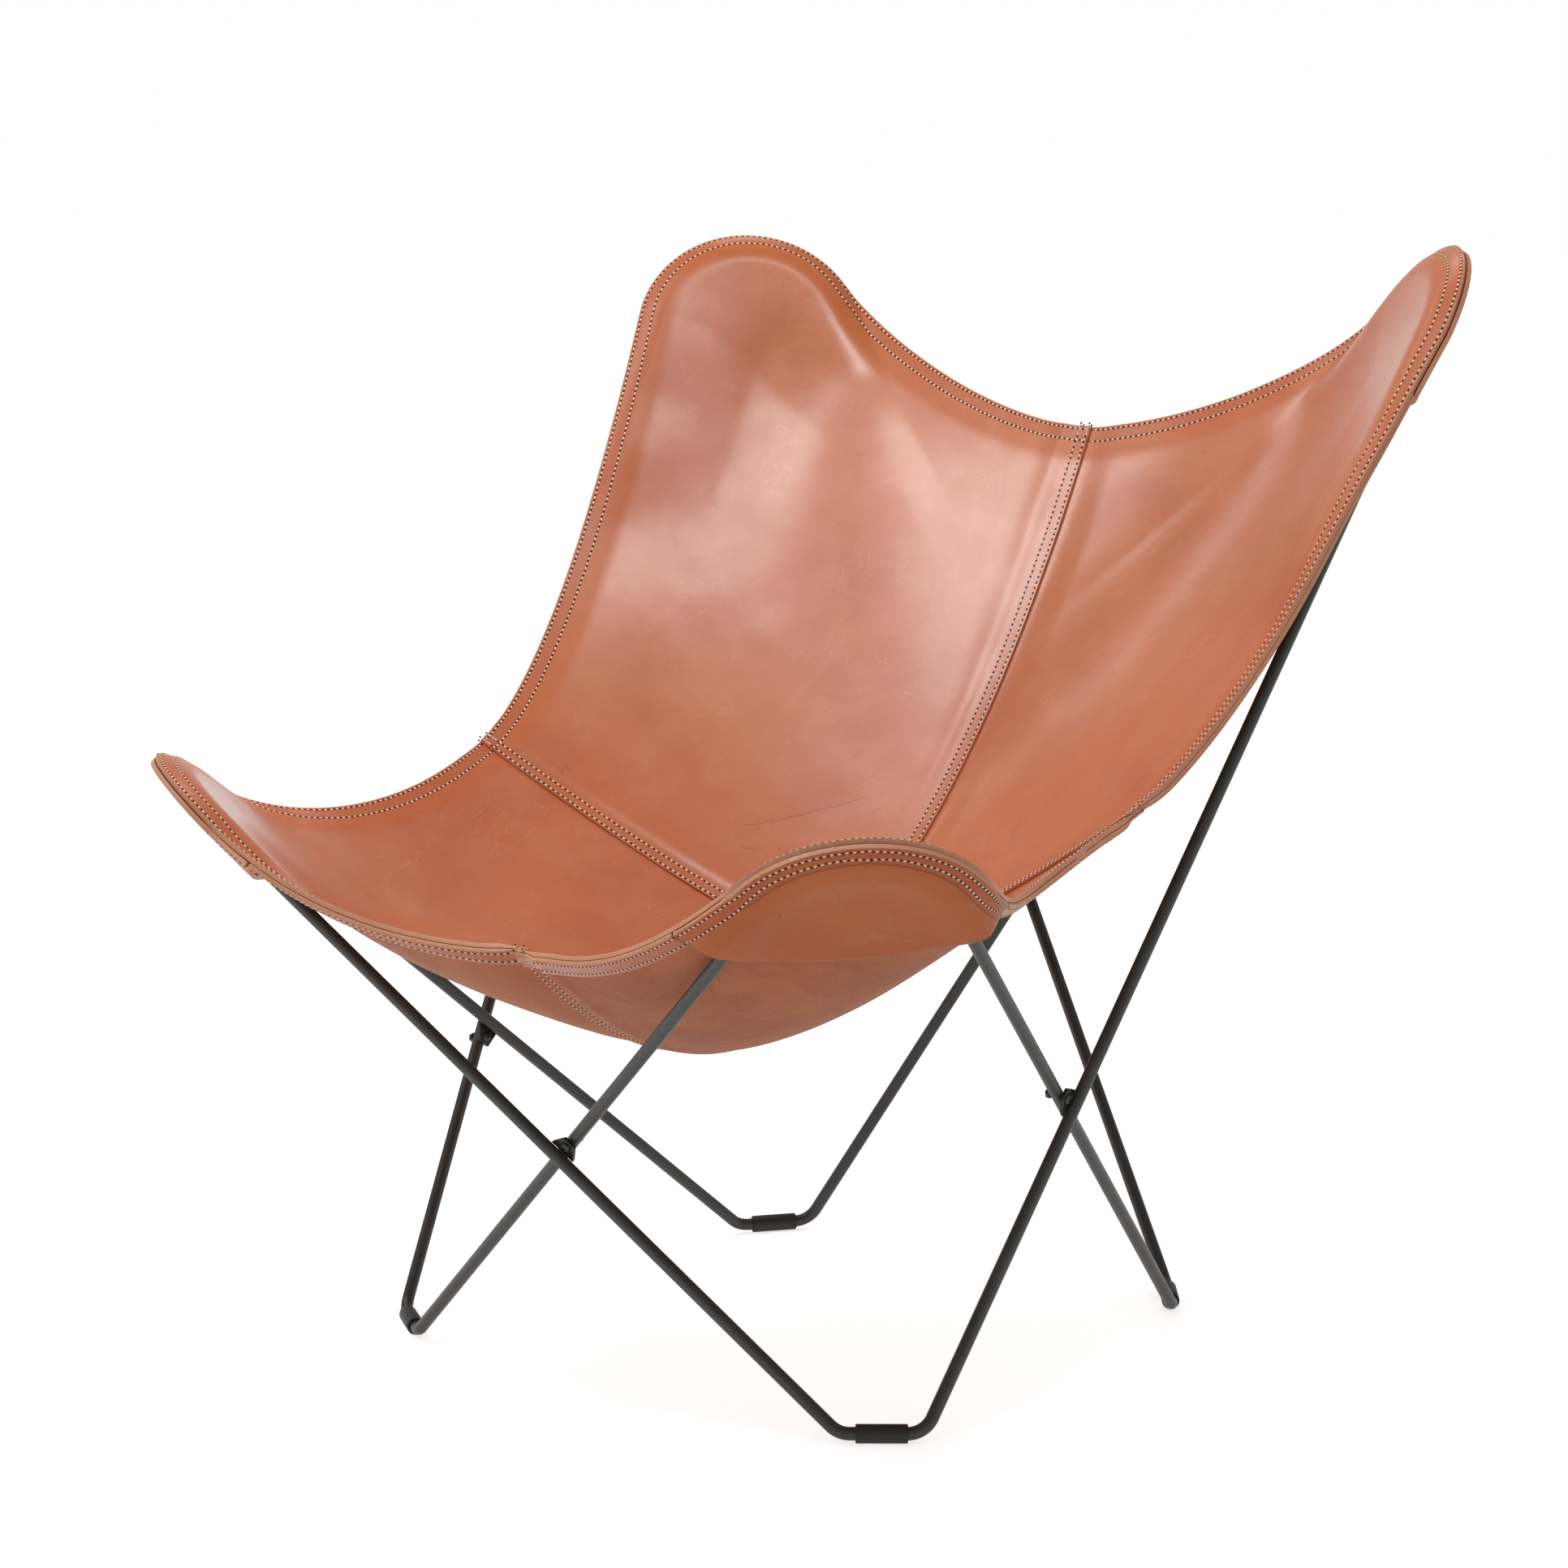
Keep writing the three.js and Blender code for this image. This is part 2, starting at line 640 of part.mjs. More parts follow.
// Shares of a panel's half length from past the seam out to its edge, finer towards the edge.
function panelShares(lap, lengthAtEdge) {
  const seamShares = seamRampShares.map((share) => share * lap);
  const last = seamShares[seamShares.length - 1];
  const band = edgeBandWidth / lengthAtEdge;
  const span = 1 - band - last;
  const shares = [...seamShares];
  for (let i = lobeSteps - 1; i >= 0; i -= 1) {
    shares.push(1 - band - span * (i / lobeSteps) ** lobeEasingShare);
  }
  return [...shares, 1];
}

// One at the seam and nothing where the two panels lie edge to edge no more.
function nearSeam(share, lap) {
  const past = (Math.abs(share) / lap - 1) / (seamRampShares[3] - 1);
  return 1 - THREE.MathUtils.smoothstep(past, 0, 1);
}

const layerStep = (leatherThickness + fitGap) / 2;

// Four leather panels: the back ones lap over the front ones, and the left ones over the right ones.
function panelGrid(frontOrBack, hand) {
  const end = frontOrBack === 'front' ? 0 : 1;
  const side = hand === 'left' ? 0 : 1;
  const acrossLengths = lengthsPerShare([crossLines[1], crossLines[2 * end]], side);
  const uprightLengths = lengthsPerShare([uprightLines[1], uprightLines[2 * side]], end);
  const acrossLap = seamLap / 2 / acrossLengths.atSeam;
  const uprightLap = seamLap / 2 / uprightLengths.atSeam;
  const acrossShares = panelShares(acrossLap, acrossLengths.atEdge);
  const uprightShares = panelShares(uprightLap, uprightLengths.atEdge);
  const bend = lobes[frontOrBack][hand];
  const across = hand === 'right' ? acrossShares : acrossShares.map((share) => -share).reverse();
  const upright = frontOrBack === 'back' ? uprightShares : uprightShares.map((share) => -share).reverse();
  // One on the bands' width and a little way in, and nothing further inside.
  const atEdge = (share, lengthAtEdge) => {
    const fromEdge = (1 - Math.abs(share)) * lengthAtEdge;
    return 1 - THREE.MathUtils.smoothstep(fromEdge, edgeBandWidth, bandRoomFade);
  };
  const nearEdge = (s, t) => Math.max(atEdge(s, acrossLengths.atEdge), atEdge(t, uprightLengths.atEdge));
  const base = across.map((s) => upright.map((t) => liftOverRod(bend, slingPoint(s, t), nearEdge(s, t))));
  const normals = gridNormals(base);
  const over = frontOrBack === 'back' ? 1 : -1;
  const above = hand === 'left' ? 1 : -1;
  const grid = base.map((row, i) => row.map((point, j) => {
    const atMiddleSeam = nearSeam(across[i], acrossLap);
    const atCrossSeam = nearSeam(upright[j], uprightLap);
    const lift = layerStep * (over * (1 + atMiddleSeam) * atCrossSeam + above * atMiddleSeam);
    return point.clone().addScaledVector(normals[i][j], lift);
  }));
  return { grid, normals, bend };
}

// pockets and edge bands under the panels' outer edges

// The rim of a panel from the tip outwards along one of its edges.
function rimFrom(grid, normals, tip, step) {
  const rim = [];
  for (let [i, j] = tip; grid[i] && grid[i][j]; i += step[0], j += step[1]) {
    rim.push({ point: grid[i][j], normal: normals[i][j], i, j });
  }
  return rim;
}

function reachIndex(rim, reach) {
  let length = 0;
  let index = 0;
  while (length < reach && index < rim.length - 1) {
    length += rim[index + 1].point.distanceTo(rim[index].point);
    index += 1;
  }
  return index;
}

function addPocket(name, bend, grid, first, second) {
  const firstEnd = first.rim[reachIndex(first.rim, pocketRimReach)];
  const secondEnd = second.rim[reachIndex(second.rim, pocketRimReach)];
  const rim = [...first.rim.slice(0, first.rim.indexOf(firstEnd) + 1).reverse(),
    ...second.rim.slice(1, second.rim.indexOf(secondEnd) + 1)];
  const insideOf = ({ i, j }, inward) => placeAtBend(bend, grid[i + inward[0]][j + inward[1]]);
  const mouthStart = insideOf(firstEnd, first.inward);
  const mouthEnd = insideOf(secondEnd, second.inward);
  // Each rim point, with how fast the panel sinks inwards from it.
  const places = rim.map((at, index) => {
    const inside = insideOf(at, index < rim.indexOf(first.rim[0]) ? first.inward : second.inward);
    const place = placeAtBend(bend, at.point);
    const distance = Math.hypot(inside.outwards - place.outwards, inside.sideways - place.sideways);
    return { ...place, sink: Math.max(0, (place.height - inside.height) / distance) };
  });
  const start = places[0].sideways;
  const end = places[places.length - 1].sideways;
  const flat = -leatherOverRod;
  const sheet = places.map((place) => {
    const share = (place.sideways - start) / (end - start);
    const mouth = THREE.MathUtils.lerp(mouthStart.outwards, mouthEnd.outwards, share)
      - pocketBow * 4 * share * (1 - share);
    const mouthSideways = THREE.MathUtils.lerp(mouthStart.sideways, mouthEnd.sideways, share);
    return pocketRowShares.map((row) => {
      const outwards = THREE.MathUtils.lerp(place.outwards, mouth, row);
      const inPlane = bend.centre.clone().addScaledVector(bend.out, outwards)
        .addScaledVector(bend.side, THREE.MathUtils.lerp(place.sideways, mouthSideways, row));
      const { pastRod } = placeAtBend(bend, inPlane);
      const nearRim = THREE.MathUtils.smoothstep(pastRod, pocketRodMargin, edgeMargin);
      const underRim = place.height - 2 * layerStep;
      const height = THREE.MathUtils.lerp(flat, underRim, nearRim);
      const fromRim = Math.hypot(outwards - place.outwards, (mouthSideways - place.sideways) * row);
      const underPanel = Math.max(flat, underRim - place.sink * fromRim);
      return inPlane.addScaledVector(bend.normal, Math.min(height, underPanel));
    });
  });
  const normals = sheet.map((row) => row.map(() => bend.normal));
  addPiece(name, sheetBody(sheet, normals, -leatherThickness / 2, leatherThickness / 2), hideBack);
}

// Draws one end of a band back from the piece that it meets.
function drawBack(points, end, neighbour, distance) {
  const share = distance / points[end][0].distanceTo(points[neighbour][0]);
  points[end] = points[end].map((point, k) => point.lerp(points[neighbour][k], share));
}

// A band under an edge, from the pocket to the notch, as wide as the outermost strip of the grid.
// Where its panel laps over the next one, the band ends at that panel's hidden border.
function addBand(name, grid, normals, rim, inward, lapsOver) {
  const from = reachIndex(rim, pocketRimReach);
  const strip = lapsOver ? rim.slice(from, -1) : rim.slice(from);
  const rows = strip.map(({ i, j }) => [[i, j], [i + inward[0], j + inward[1]]]);
  const points = rows.map((row) => row.map(([i, j]) => grid[i][j].clone()));
  drawBack(points, 0, 1, pocketToBand);
  if (lapsOver) drawBack(points, points.length - 1, points.length - 2, 2 * fitGap);
  const directions = rows.map((row) => row.map(([i, j]) => normals[i][j]));
  // The rows run as the panel's do, so that both are split into the same triangles.
  const rimStep = rim[1].i - rim[0].i + rim[1].j - rim[0].j;
  if (rimStep * (inward[0] + inward[1]) < 0) {
    points.reverse();
    directions.reverse();
  }
  const middleFace = -2 * layerStep;
  addPiece(name, sheetBody(points, directions,
    middleFace - leatherThickness / 2, middleFace + leatherThickness / 2), hideBack);
}

for (const frontOrBack of ['front', 'back']) {
  for (const hand of ['left', 'right']) {
    const { grid, normals, bend } = panelGrid(frontOrBack, hand);
    const lastRow = grid.length - 1;
    const lastColumn = grid[0].length - 1;
    const tip = [hand === 'right' ? lastRow : 0, frontOrBack === 'back' ? lastColumn : 0];
    const inwardAcross = [hand === 'right' ? -1 : 1, 0];
    const inwardUpright = [0, frontOrBack === 'back' ? -1 : 1];
    const half = leatherThickness / 2;
    addPiece(`panel_${frontOrBack}_${hand}`, sheetBody(grid, normals, -half, half), hide);
    const endRim = rimFrom(grid, normals, tip, inwardAcross);
    const sideRim = rimFrom(grid, normals, tip, inwardUpright);
    addPocket(`pocket_${frontOrBack}_${hand}`, bend, grid,
      { rim: endRim, inward: inwardUpright }, { rim: sideRim, inward: inwardAcross });
    addBand(`edge_band_${frontOrBack}_${hand}`, grid, normals, endRim, inwardUpright, hand === 'left');
    addBand(`edge_band_side_${frontOrBack}_${hand}`, grid, normals, sideRim, inwardAcross,
      frontOrBack === 'back');
  }
}

// The origin is on the floor, under the middle of the whole chair.
const box = new THREE.Box3().setFromObject(chair, true);
const centre = box.getCenter(new THREE.Vector3());
chair.position.set(-centre.x, -centre.y, -box.min.z);

export default chair;
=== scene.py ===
import math
import random

import bmesh
import bpy
import numpy as np
from mathutils import Matrix, Vector, noise
from mathutils.bvhtree import BVHTree
from mathutils.kdtree import KDTree


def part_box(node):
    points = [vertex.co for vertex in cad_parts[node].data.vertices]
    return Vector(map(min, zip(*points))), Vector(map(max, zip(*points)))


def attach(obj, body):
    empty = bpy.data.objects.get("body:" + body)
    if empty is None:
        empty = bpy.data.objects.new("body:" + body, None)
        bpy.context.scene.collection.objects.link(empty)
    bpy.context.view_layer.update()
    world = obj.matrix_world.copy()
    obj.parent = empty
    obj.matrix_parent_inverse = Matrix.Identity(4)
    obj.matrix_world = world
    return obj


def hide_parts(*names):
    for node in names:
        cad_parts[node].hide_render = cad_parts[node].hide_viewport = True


# Butterfly sling chair: a leather sling of four sewn panels on two crossed loops of bent steel rod.
# Metres, +Z up, front towards -Y; left and right are as seen from the front.
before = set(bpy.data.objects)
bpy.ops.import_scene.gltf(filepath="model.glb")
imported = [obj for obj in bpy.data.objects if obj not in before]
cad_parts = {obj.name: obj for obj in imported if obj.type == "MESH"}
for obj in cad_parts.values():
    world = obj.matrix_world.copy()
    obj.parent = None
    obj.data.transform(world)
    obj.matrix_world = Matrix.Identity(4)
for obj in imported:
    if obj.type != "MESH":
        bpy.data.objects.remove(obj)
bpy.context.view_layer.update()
print("frame loaded:", len(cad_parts), "nodes")


# Small sums with points, which are rows of an array

def unit(vectors):
    return vectors / np.maximum(np.linalg.norm(vectors, axis=-1, keepdims=True), 1e-12)


def dot(a, b):
    return (a * b).sum(axis=-1)


def smooth(values, low, high):
    share = np.clip((values - low) / (high - low), 0, 1)
    return share * share * (3 - 2 * share)


def middleOf(node):
    low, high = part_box(node)
    return np.array((low + high) / 2)


# Shaders

class Value:
    # one socket of a node; sums on it add Math nodes
    def __init__(self, made, socket):
        self.made, self.socket = made, socket

    def __add__(self, other):
        return self.made.math("ADD", self, other)

    def __sub__(self, other):
        return self.made.math("SUBTRACT", self, other)

    def __rsub__(self, other):
        return self.made.math("SUBTRACT", other, self)

    def __mul__(self, other):
        return self.made.math("MULTIPLY", self, other)

    __radd__ = __add__
    __rmul__ = __mul__


class Nodes:
    # a tree of nodes, and the way in which they are made
    def __init__(self, tree):
        self.tree = tree

    def node(self, kind, settings=None, inputs=None, output=0):
        made = self.tree.nodes.new("ShaderNode" + kind)
        for key, value in (settings or {}).items():
            setattr(made, key, value)
        for key, value in (inputs or {}).items():
            self.feed(made.inputs[key], value)
        return Value(self, made.outputs[output])

    def feed(self, socket, value):
        if isinstance(value, Value):
            self.tree.links.new(value.socket, socket)
        else:
            socket.default_value = value

    def math(self, operation, *values):
        return self.node("Math", {"operation": operation}, dict(enumerate(values)))


class Finish(Nodes):
    # a material with one Principled shader
    def __init__(self, name, **sockets):
        self.material = bpy.data.materials.new(name)
        self.material.use_nodes = True
        super().__init__(self.material.node_tree)
        self.shader = self.tree.nodes["Principled BSDF"]
        for socket, value in sockets.items():
            self.set(socket.replace("_", " "), value)

    def set(self, socket, value):
        self.feed(self.shader.inputs[socket], value)

    def place(self, scale=(1, 1, 1), turn=(0, 0, 0)):
        at = self.node("TexCoord", output="Object")
        if scale == (1, 1, 1) and turn == (0, 0, 0):
            return at
        return self.node("Mapping", {}, {"Vector": at, "Scale": scale, "Rotation": turn})

    def cloud(self, scale, detail=3, rough=0.5, at=None, twist=0.0):
        return self.node("TexNoise", {}, {"Vector": at or self.place(), "Scale": scale, "Detail": detail,
                                          "Roughness": rough, "Distortion": twist})

    def between(self, value, low, high):
        # 0 below low, 1 above high
        return self.node("MapRange", {"interpolation_type": "SMOOTHSTEP"},
                         {"Value": value, "From Min": low, "From Max": high})

    def mix(self, factor, first, second):
        return self.node("Mix", {"data_type": "RGBA"}, {0: factor, 6: first, 7: second}, output=2)

    def own(self, attribute):
        return self.node("Attribute", {"attribute_name": attribute}, output="Fac")

    def bump(self, height, distance, strength, under=None):
        inputs = {"Height": height, "Distance": distance, "Strength": strength}
        if under:
            inputs["Normal"] = under
        return self.node("Bump", {}, inputs)


def tone(red, green, blue):
    # a screen colour of 0 to 255 as the shaders read it
    def linear(part):
        part /= 255
        return part / 12.92 if part <= 0.04045 else ((part + 0.055) / 1.055) ** 2.4
    return (linear(red), linear(green), linear(blue), 1)


hide = {
    "tan": tone(197, 110, 64), "russet": tone(180, 91, 52), "pale": tone(210, 134, 92),
    # the sewing-row tone is painted shade: the dark that falls in the rows' stitch channels
    "worn": tone(224, 158, 120), "band": tone(180, 94, 62), "rowShade": tone(112, 52, 34),
    "mark": tone(132, 66, 44),
    # cloud, from, to, strength, tone
    "layers": [("broad", 0.36, 0.70, 0.62, "russet"), ("patches", 0.46, 0.76, 0.20, "pale"),
               ("streaks", 0.56, 0.80, 0.16, "pale"), ("fine", 0.42, 0.70, 0.12, "russet")],
    "bandEnd": (0.0142, 0.0158), "lapEnd": (0.0112, 0.0126), "paleEdge": (0.0002, 0.0016),
    "dullRim": (0.028, 0.042), "roughness": 0.33, "grainSize": 0.0011, "grainDepth": 0.000144,
    "edgeRows": (0.0032, 0.0150), "lapRows": (0.0026, 0.0118), "rowHalf": 0.00144,
}

# thin dark marks: two ends and half a width each
marks = {
    "facing": (0.45, -0.59, 0.67), "waver": 0.004, "waverSize": 34, "fade": 0.010, "depth": (0.02, 0.03),
    "lines": [
        ((-0.146, 0.084, 0.415), (-0.064, 0.168, 0.439), 0.0013),
        ((-0.058, 0.154, 0.425), (-0.045, 0.166, 0.431), 0.0012),
        ((-0.139, 0.067, 0.400), (-0.120, 0.078, 0.397), 0.0010),
        ((-0.330, 0.267, 0.691), (-0.314, 0.269, 0.676), 0.0010),
        ((-0.296, 0.306, 0.696), (-0.289, 0.320, 0.707), 0.0010),
    ],
}


def rowMask(finish, attribute, rows):
    # 1 on the sewing rows that lie at these distances from an edge
    distance = finish.own(attribute)
    mask = 0.0
    for row in rows:
        off = finish.math("ABSOLUTE", distance - row)
        mask = mask + (1 - finish.between(off, 0.0, hide["rowHalf"]))
    return mask


def markMask(finish):
    # 1 along the thin marks that lie across the lower back
    at, ahead, mask = finish.place(), Vector(marks["facing"]), 0.0
    for start, end, half in marks["lines"]:
        start, end = Vector(start), Vector(end)
        run, length, fade, parts = (end - start).normalized(), (end - start).length, marks["fade"], []
        for way in (run, run.cross(ahead).normalized(), ahead):
            reach = finish.node("VectorMath", {"operation": "DOT_PRODUCT"}, {0: at, 1: way}, output="Value")
            parts.append(reach - way.dot(start))
        along, off, over = parts
        off = finish.math("ABSOLUTE", off + (finish.cloud(marks["waverSize"], 2) - 0.5) * marks["waver"])
        shown = (1 - finish.between(off, 0.0, half)) * finish.between(along, 0.0, fade)
        shown = shown * (1 - finish.between(along, length - fade, length))
        mask = mask + shown * (1 - finish.between(finish.math("ABSOLUTE", over), *marks["depth"]))
    return mask


def grainSide(name, specular, coat):
    made = Finish(name, Specular_IOR_Level=specular, Coat_Roughness=0.23)
    clouds = {
        "broad": made.cloud(5.5, 4, 0.55, twist=0.6), "patches": made.cloud(19, 5, 0.6),
        "fine": made.cloud(160, 6, 0.65),
        "streaks": made.cloud(9, 5, 0.6, at=made.place((2.6, 0.9, 0.55), (0.3, 0.1, 0.2)), twist=0.9),
    }
    colour = hide["tan"]
    for cloud, low, high, strength, shade in hide["layers"]:
        colour = made.mix(made.between(clouds[cloud], low, high) * strength, colour, hide[shade])
    fromEdge, fromLap = made.own("edgeNear"), made.own("lapNear")
    colour = made.mix((1 - made.between(fromEdge, *hide["bandEnd"])) * 0.36, colour, hide["band"])
    colour = made.mix((1 - made.between(fromLap, *hide["lapEnd"])) * 0.24, colour, hide["band"])
    rows = rowMask(made, "edgeNear", hide["edgeRows"]) + rowMask(made, "lapNear", hide["lapRows"])
    rows = made.math("MINIMUM", rows, 1.0)
    # painted shade: the sewing rows are darkened for the shade in their stitch channels
    colour = made.mix(rows * 0.50, colour, hide["rowShade"])
    web = made.cloud(24, 6, 0.62, at=made.place((1, 0.6, 0.8)), twist=0.7)
    web = 1 - made.between(made.math("ABSOLUTE", web - 0.5), 0.0, 0.011)
    colour = made.mix(web * made.between(made.cloud(15, 3), 0.50, 0.64) * 0.22, colour, hide["worn"])
    nick = made.cloud(9, 2, 0.4, at=made.place(turn=(0.5, 0.9, 0.3)), twist=0.3)
    nick = 1 - made.between(made.math("ABSOLUTE", nick - 0.5), 0.0, 0.0022)
    thin = nick * made.between(made.cloud(26, 2), 0.60, 0.66)
    colour = made.mix(made.math("MINIMUM", thin * 0.4 + markMask(made) * 0.62, 1.0), colour, hide["mark"])
    colour = made.mix((1 - made.between(fromEdge, *hide["paleEdge"])) * 0.45, colour, hide["worn"])
    made.set("Base Color", colour)
    patches, fine, streaks = clouds["patches"], clouds["fine"], clouds["streaks"]
    made.set("Roughness", made.between(patches, 0.35, 0.7) * 0.10 + made.between(fine, 0.3, 0.7) * 0.05
             + hide["roughness"] - made.between(streaks, 0.55, 0.8) * 0.05)
    nearRim = 1 - made.between(fromEdge, *hide["dullRim"])
    made.set("Coat Weight", (made.between(patches, 0.30, 0.70) * 0.30 + 0.85) * (1 - nearRim * 0.8) * coat)
    pores = made.node("TexVoronoi", {}, {"Vector": made.place(), "Scale": 1 / hide["grainSize"]})
    grain = made.bump(pores * 0.6 + made.cloud(520, 4, 0.6) * 0.8, hide["grainDepth"], 0.8)
    soft = made.bump(made.cloud(46), 0.0016, 0.5, under=grain)
    made.set("Normal", made.bump(1 - rows - thin * 0.3, 0.0006, 0.8, under=soft))
    return made.material


def fleshSide():
    made = Finish("leatherBack", Specular_IOR_Level=0.12)
    broad = made.cloud(8, 5, 0.62, twist=0.8)
    nap = made.cloud(420, 5, 0.7)
    colour = made.mix(made.between(broad, 0.35, 0.68), tone(194, 121, 84), tone(174, 102, 71))
    colour = made.mix(made.between(made.cloud(28, 5, 0.6), 0.48, 0.72) * 0.4, colour, tone(200, 131, 96))
    colour = made.mix(made.between(nap, 0.4, 0.7) * 0.25, colour, tone(146, 82, 57))
    rows = rowMask(made, "edgeNear", hide["edgeRows"])
    # painted shade: the sewing rows are darkened for the shade in their stitch channels
    made.set("Base Color", made.mix(rows * 0.35, colour, hide["rowShade"]))
    made.set("Roughness", made.between(nap, 0.3, 0.7) * 0.12 + 0.55)
    made.set("Normal", made.bump(nap + made.cloud(90, 3, 0.5) * 1.5 - rows, 0.0003, 0.6))
    return made.material


def cutEdge():
    made = Finish("leatherEdge", Specular_IOR_Level=0.4)
    fibres = made.cloud(300, 5, 0.65)
    colour = made.mix(made.between(fibres, 0.35, 0.7) * 0.30, tone(216, 152, 116), tone(182, 114, 82))
    colour = made.mix(made.between(made.cloud(11, 3), 0.40, 0.68) * 0.6, colour, tone(194, 134, 104))
    made.set("Base Color", colour)
    made.set("Roughness", made.between(fibres, 0.3, 0.7) * 0.12 + 0.42)
    made.set("Normal", made.bump(fibres, 0.0001, 0.5))
    return made.material


def threadFinish():
    made = Finish("waxedThread", Roughness=0.5, Specular_IOR_Level=0.4)
    strands = made.cloud(2200, 2)
    colour = made.mix(made.between(strands, 0.3, 0.7), tone(255, 240, 214), tone(250, 218, 178))
    made.set("Base Color", colour)
    made.set("Normal", made.bump(strands, 0.00015, 0.6))
    return made.material


def needleHoleShade():
    # painted shade: the dark finish of the small discs that stand for the shade inside the needle holes
    made = Finish("needleHoleShade", Roughness=0.9)
    made.set("Base Color", made.mix(made.cloud(700, 2), tone(78, 34, 22), tone(56, 24, 16)))
    return made.material


def steelFinish(name, base, roughness, metallic, speck):
    made = Finish(name, Metallic=metallic, Specular_IOR_Level=0.5)
    worn = made.cloud(24, 5, 0.6)
    peel = made.cloud(1300, 3, 0.55)
    made.set("Base Color", made.mix(made.between(worn, 0.42, 0.72) * 0.5, base, speck))
    made.set("Roughness", made.between(worn, 0.3, 0.75) * 0.10 + made.between(peel, 0.3, 0.7) * 0.05
             + roughness)
    made.set("Normal", made.bump(peel, 0.00012, 0.5))
    return made.material


finishes = {
    "face": grainSide("leatherFace", 0.18, 0.88),
    "outside": grainSide("leatherPocket", 0.10, 0.16),
    "back": fleshSide(),
    "edge": cutEdge(),
    "thread": threadFinish(),
    "holeShade": needleHoleShade(),
    "rod": steelFinish("blackenedSteel", tone(60, 60, 58), 0.36, 0.35, tone(74, 74, 72)),
    "plate": steelFinish("blackenedPlate", tone(40, 40, 39), 0.42, 0.35, tone(52, 52, 50)),
    "fastener": steelFinish("darkZinc", tone(58, 57, 55), 0.32, 0.75, tone(74, 73, 70)),
    "sleeve": steelFinish("sleeveRubber", tone(34, 34, 33), 0.55, 0.0, tone(44, 44, 43)),
}
print("finishes made:", len(finishes))


# Rod loops. The feet come from the frame; the upper corners are the loops' own.

rods = {
    "radius": 0.0055, "loopSpacing": 0.0141, "footFlat": 0.069, "footBend": 0.022, "topBend": 0.075,
    "frontFoot": (0.262, -0.204), "frontFootTurn": 37, "backFootTurn": 53,
    "frontTop": (-0.414, -0.424, 0.583), "backTop": (0.452, 0.5015, 1.085), "arcStep": 2.5,
}
rightFoot = middleOf("foot_sleeve_front_right")
# from the loops' own plan to the frame's origin
origin = np.array([rightFoot[0] - rods["frontFoot"][0],
                   rightFoot[1] - rods["frontFoot"][1] + rods["loopSpacing"] / 2, 0])


class Bend:
    # a rounded corner of a rod path
    def __init__(self, before, apex, after, radius):
        toBefore, toAfter = unit(before - apex), unit(after - apex)
        self.radius = radius
        self.half = math.acos(dot(toBefore, toAfter)) / 2
        self.out = -unit(toBefore + toAfter)
        self.centre = apex - self.out * radius / math.sin(self.half)
        self.normal = unit(np.cross(toBefore, toAfter))
        if self.normal[2] < 0:
            self.normal = -self.normal
        self.side = unit(toBefore - self.out * dot(toBefore, self.out))

    def arc(self, sense, radius, start, end, rise, count):
        angles = np.linspace(start, end, count)[:, None]
        return (self.centre + self.out * radius * np.cos(angles)
                + self.side * sense * radius * np.sin(angles) + self.normal * rise)


def loopBends(hand):
    def foot(node, turn, end):
        way = np.array([hand * math.cos(math.radians(turn)), math.sin(math.radians(turn)), 0])
        return middleOf(node) + way * end * rods["footFlat"] / 2

    def top(place):
        x, y, z = place
        return np.array([hand * x, y - hand * rods["loopSpacing"] / 2, z]) + origin

    near, far = ("right", "left") if hand == 1 else ("left", "right")
    front, back = f"foot_sleeve_front_{near}", f"foot_sleeve_back_{far}"
    frontTurn, backTurn = rods["frontFootTurn"], rods["backFootTurn"]
    corners = [foot(front, frontTurn, -1), top(rods["frontTop"]), foot(back, backTurn, -1),
               foot(back, backTurn, 1), top(rods["backTop"]), foot(front, frontTurn, 1)]
    bends = []
    for i, apex in enumerate(corners):
        radius = rods["topBend"] if i in (1, 4) else rods["footBend"]
        bends.append(Bend(corners[i - 1], apex, corners[(i + 1) % 6], radius))
    return corners, bends


rightCorners, rightBends = loopBends(1)
leftCorners, leftBends = loopBends(-1)


def addRod(name, bends):
    curve = bpy.data.curves.new(name, "CURVE")
    curve.dimensions = "3D"
    curve.bevel_depth = rods["radius"]
    curve.bevel_resolution = 7
    points = []
    for bend in bends:
        sweep = math.pi / 2 - bend.half
        count = 2 + int(math.degrees(2 * sweep) / rods["arcStep"])
        points += list(bend.arc(1, bend.radius, sweep, -sweep, 0, count))
    spline = curve.splines.new("POLY")
    spline.points.add(len(points) - 1)
    for point, at in zip(spline.points, points):
        point.co = (*at, 1)
    spline.use_cyclic_u = True
    holder = bpy.data.objects.new(name, curve)
    bpy.context.scene.collection.objects.link(holder)
    mesh = bpy.data.meshes.new_from_object(holder)
    bpy.data.objects.remove(holder)
    return addPiece(name, mesh, ["rod"], "frame", f"frame_{name}")


def addPiece(name, mesh, looks, slot, *nodes):
    mesh.name = name
    for look in looks:
        mesh.materials.append(finishes[look])
    for polygon in mesh.polygons:
        polygon.use_smooth = True
    piece = bpy.data.objects.new(name, mesh)
    bpy.context.scene.collection.objects.link(piece)
    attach(piece, "root")
    if nodes:
        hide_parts(*nodes)
    return piece


addRod("loop_right", rightBends)
addRod("loop_left", leftBends)
print("rod loops made")


def meshOf(bm, name):
    mesh = bpy.data.meshes.new(name)
    bm.to_mesh(mesh)
    bm.free()
    return mesh


# Foot sleeves: plain tubes over the flat of each foot, with softened ends

sleeve = {"length": 0.042, "round": 0.0009, "bore": 0.00575, "sides": 48}


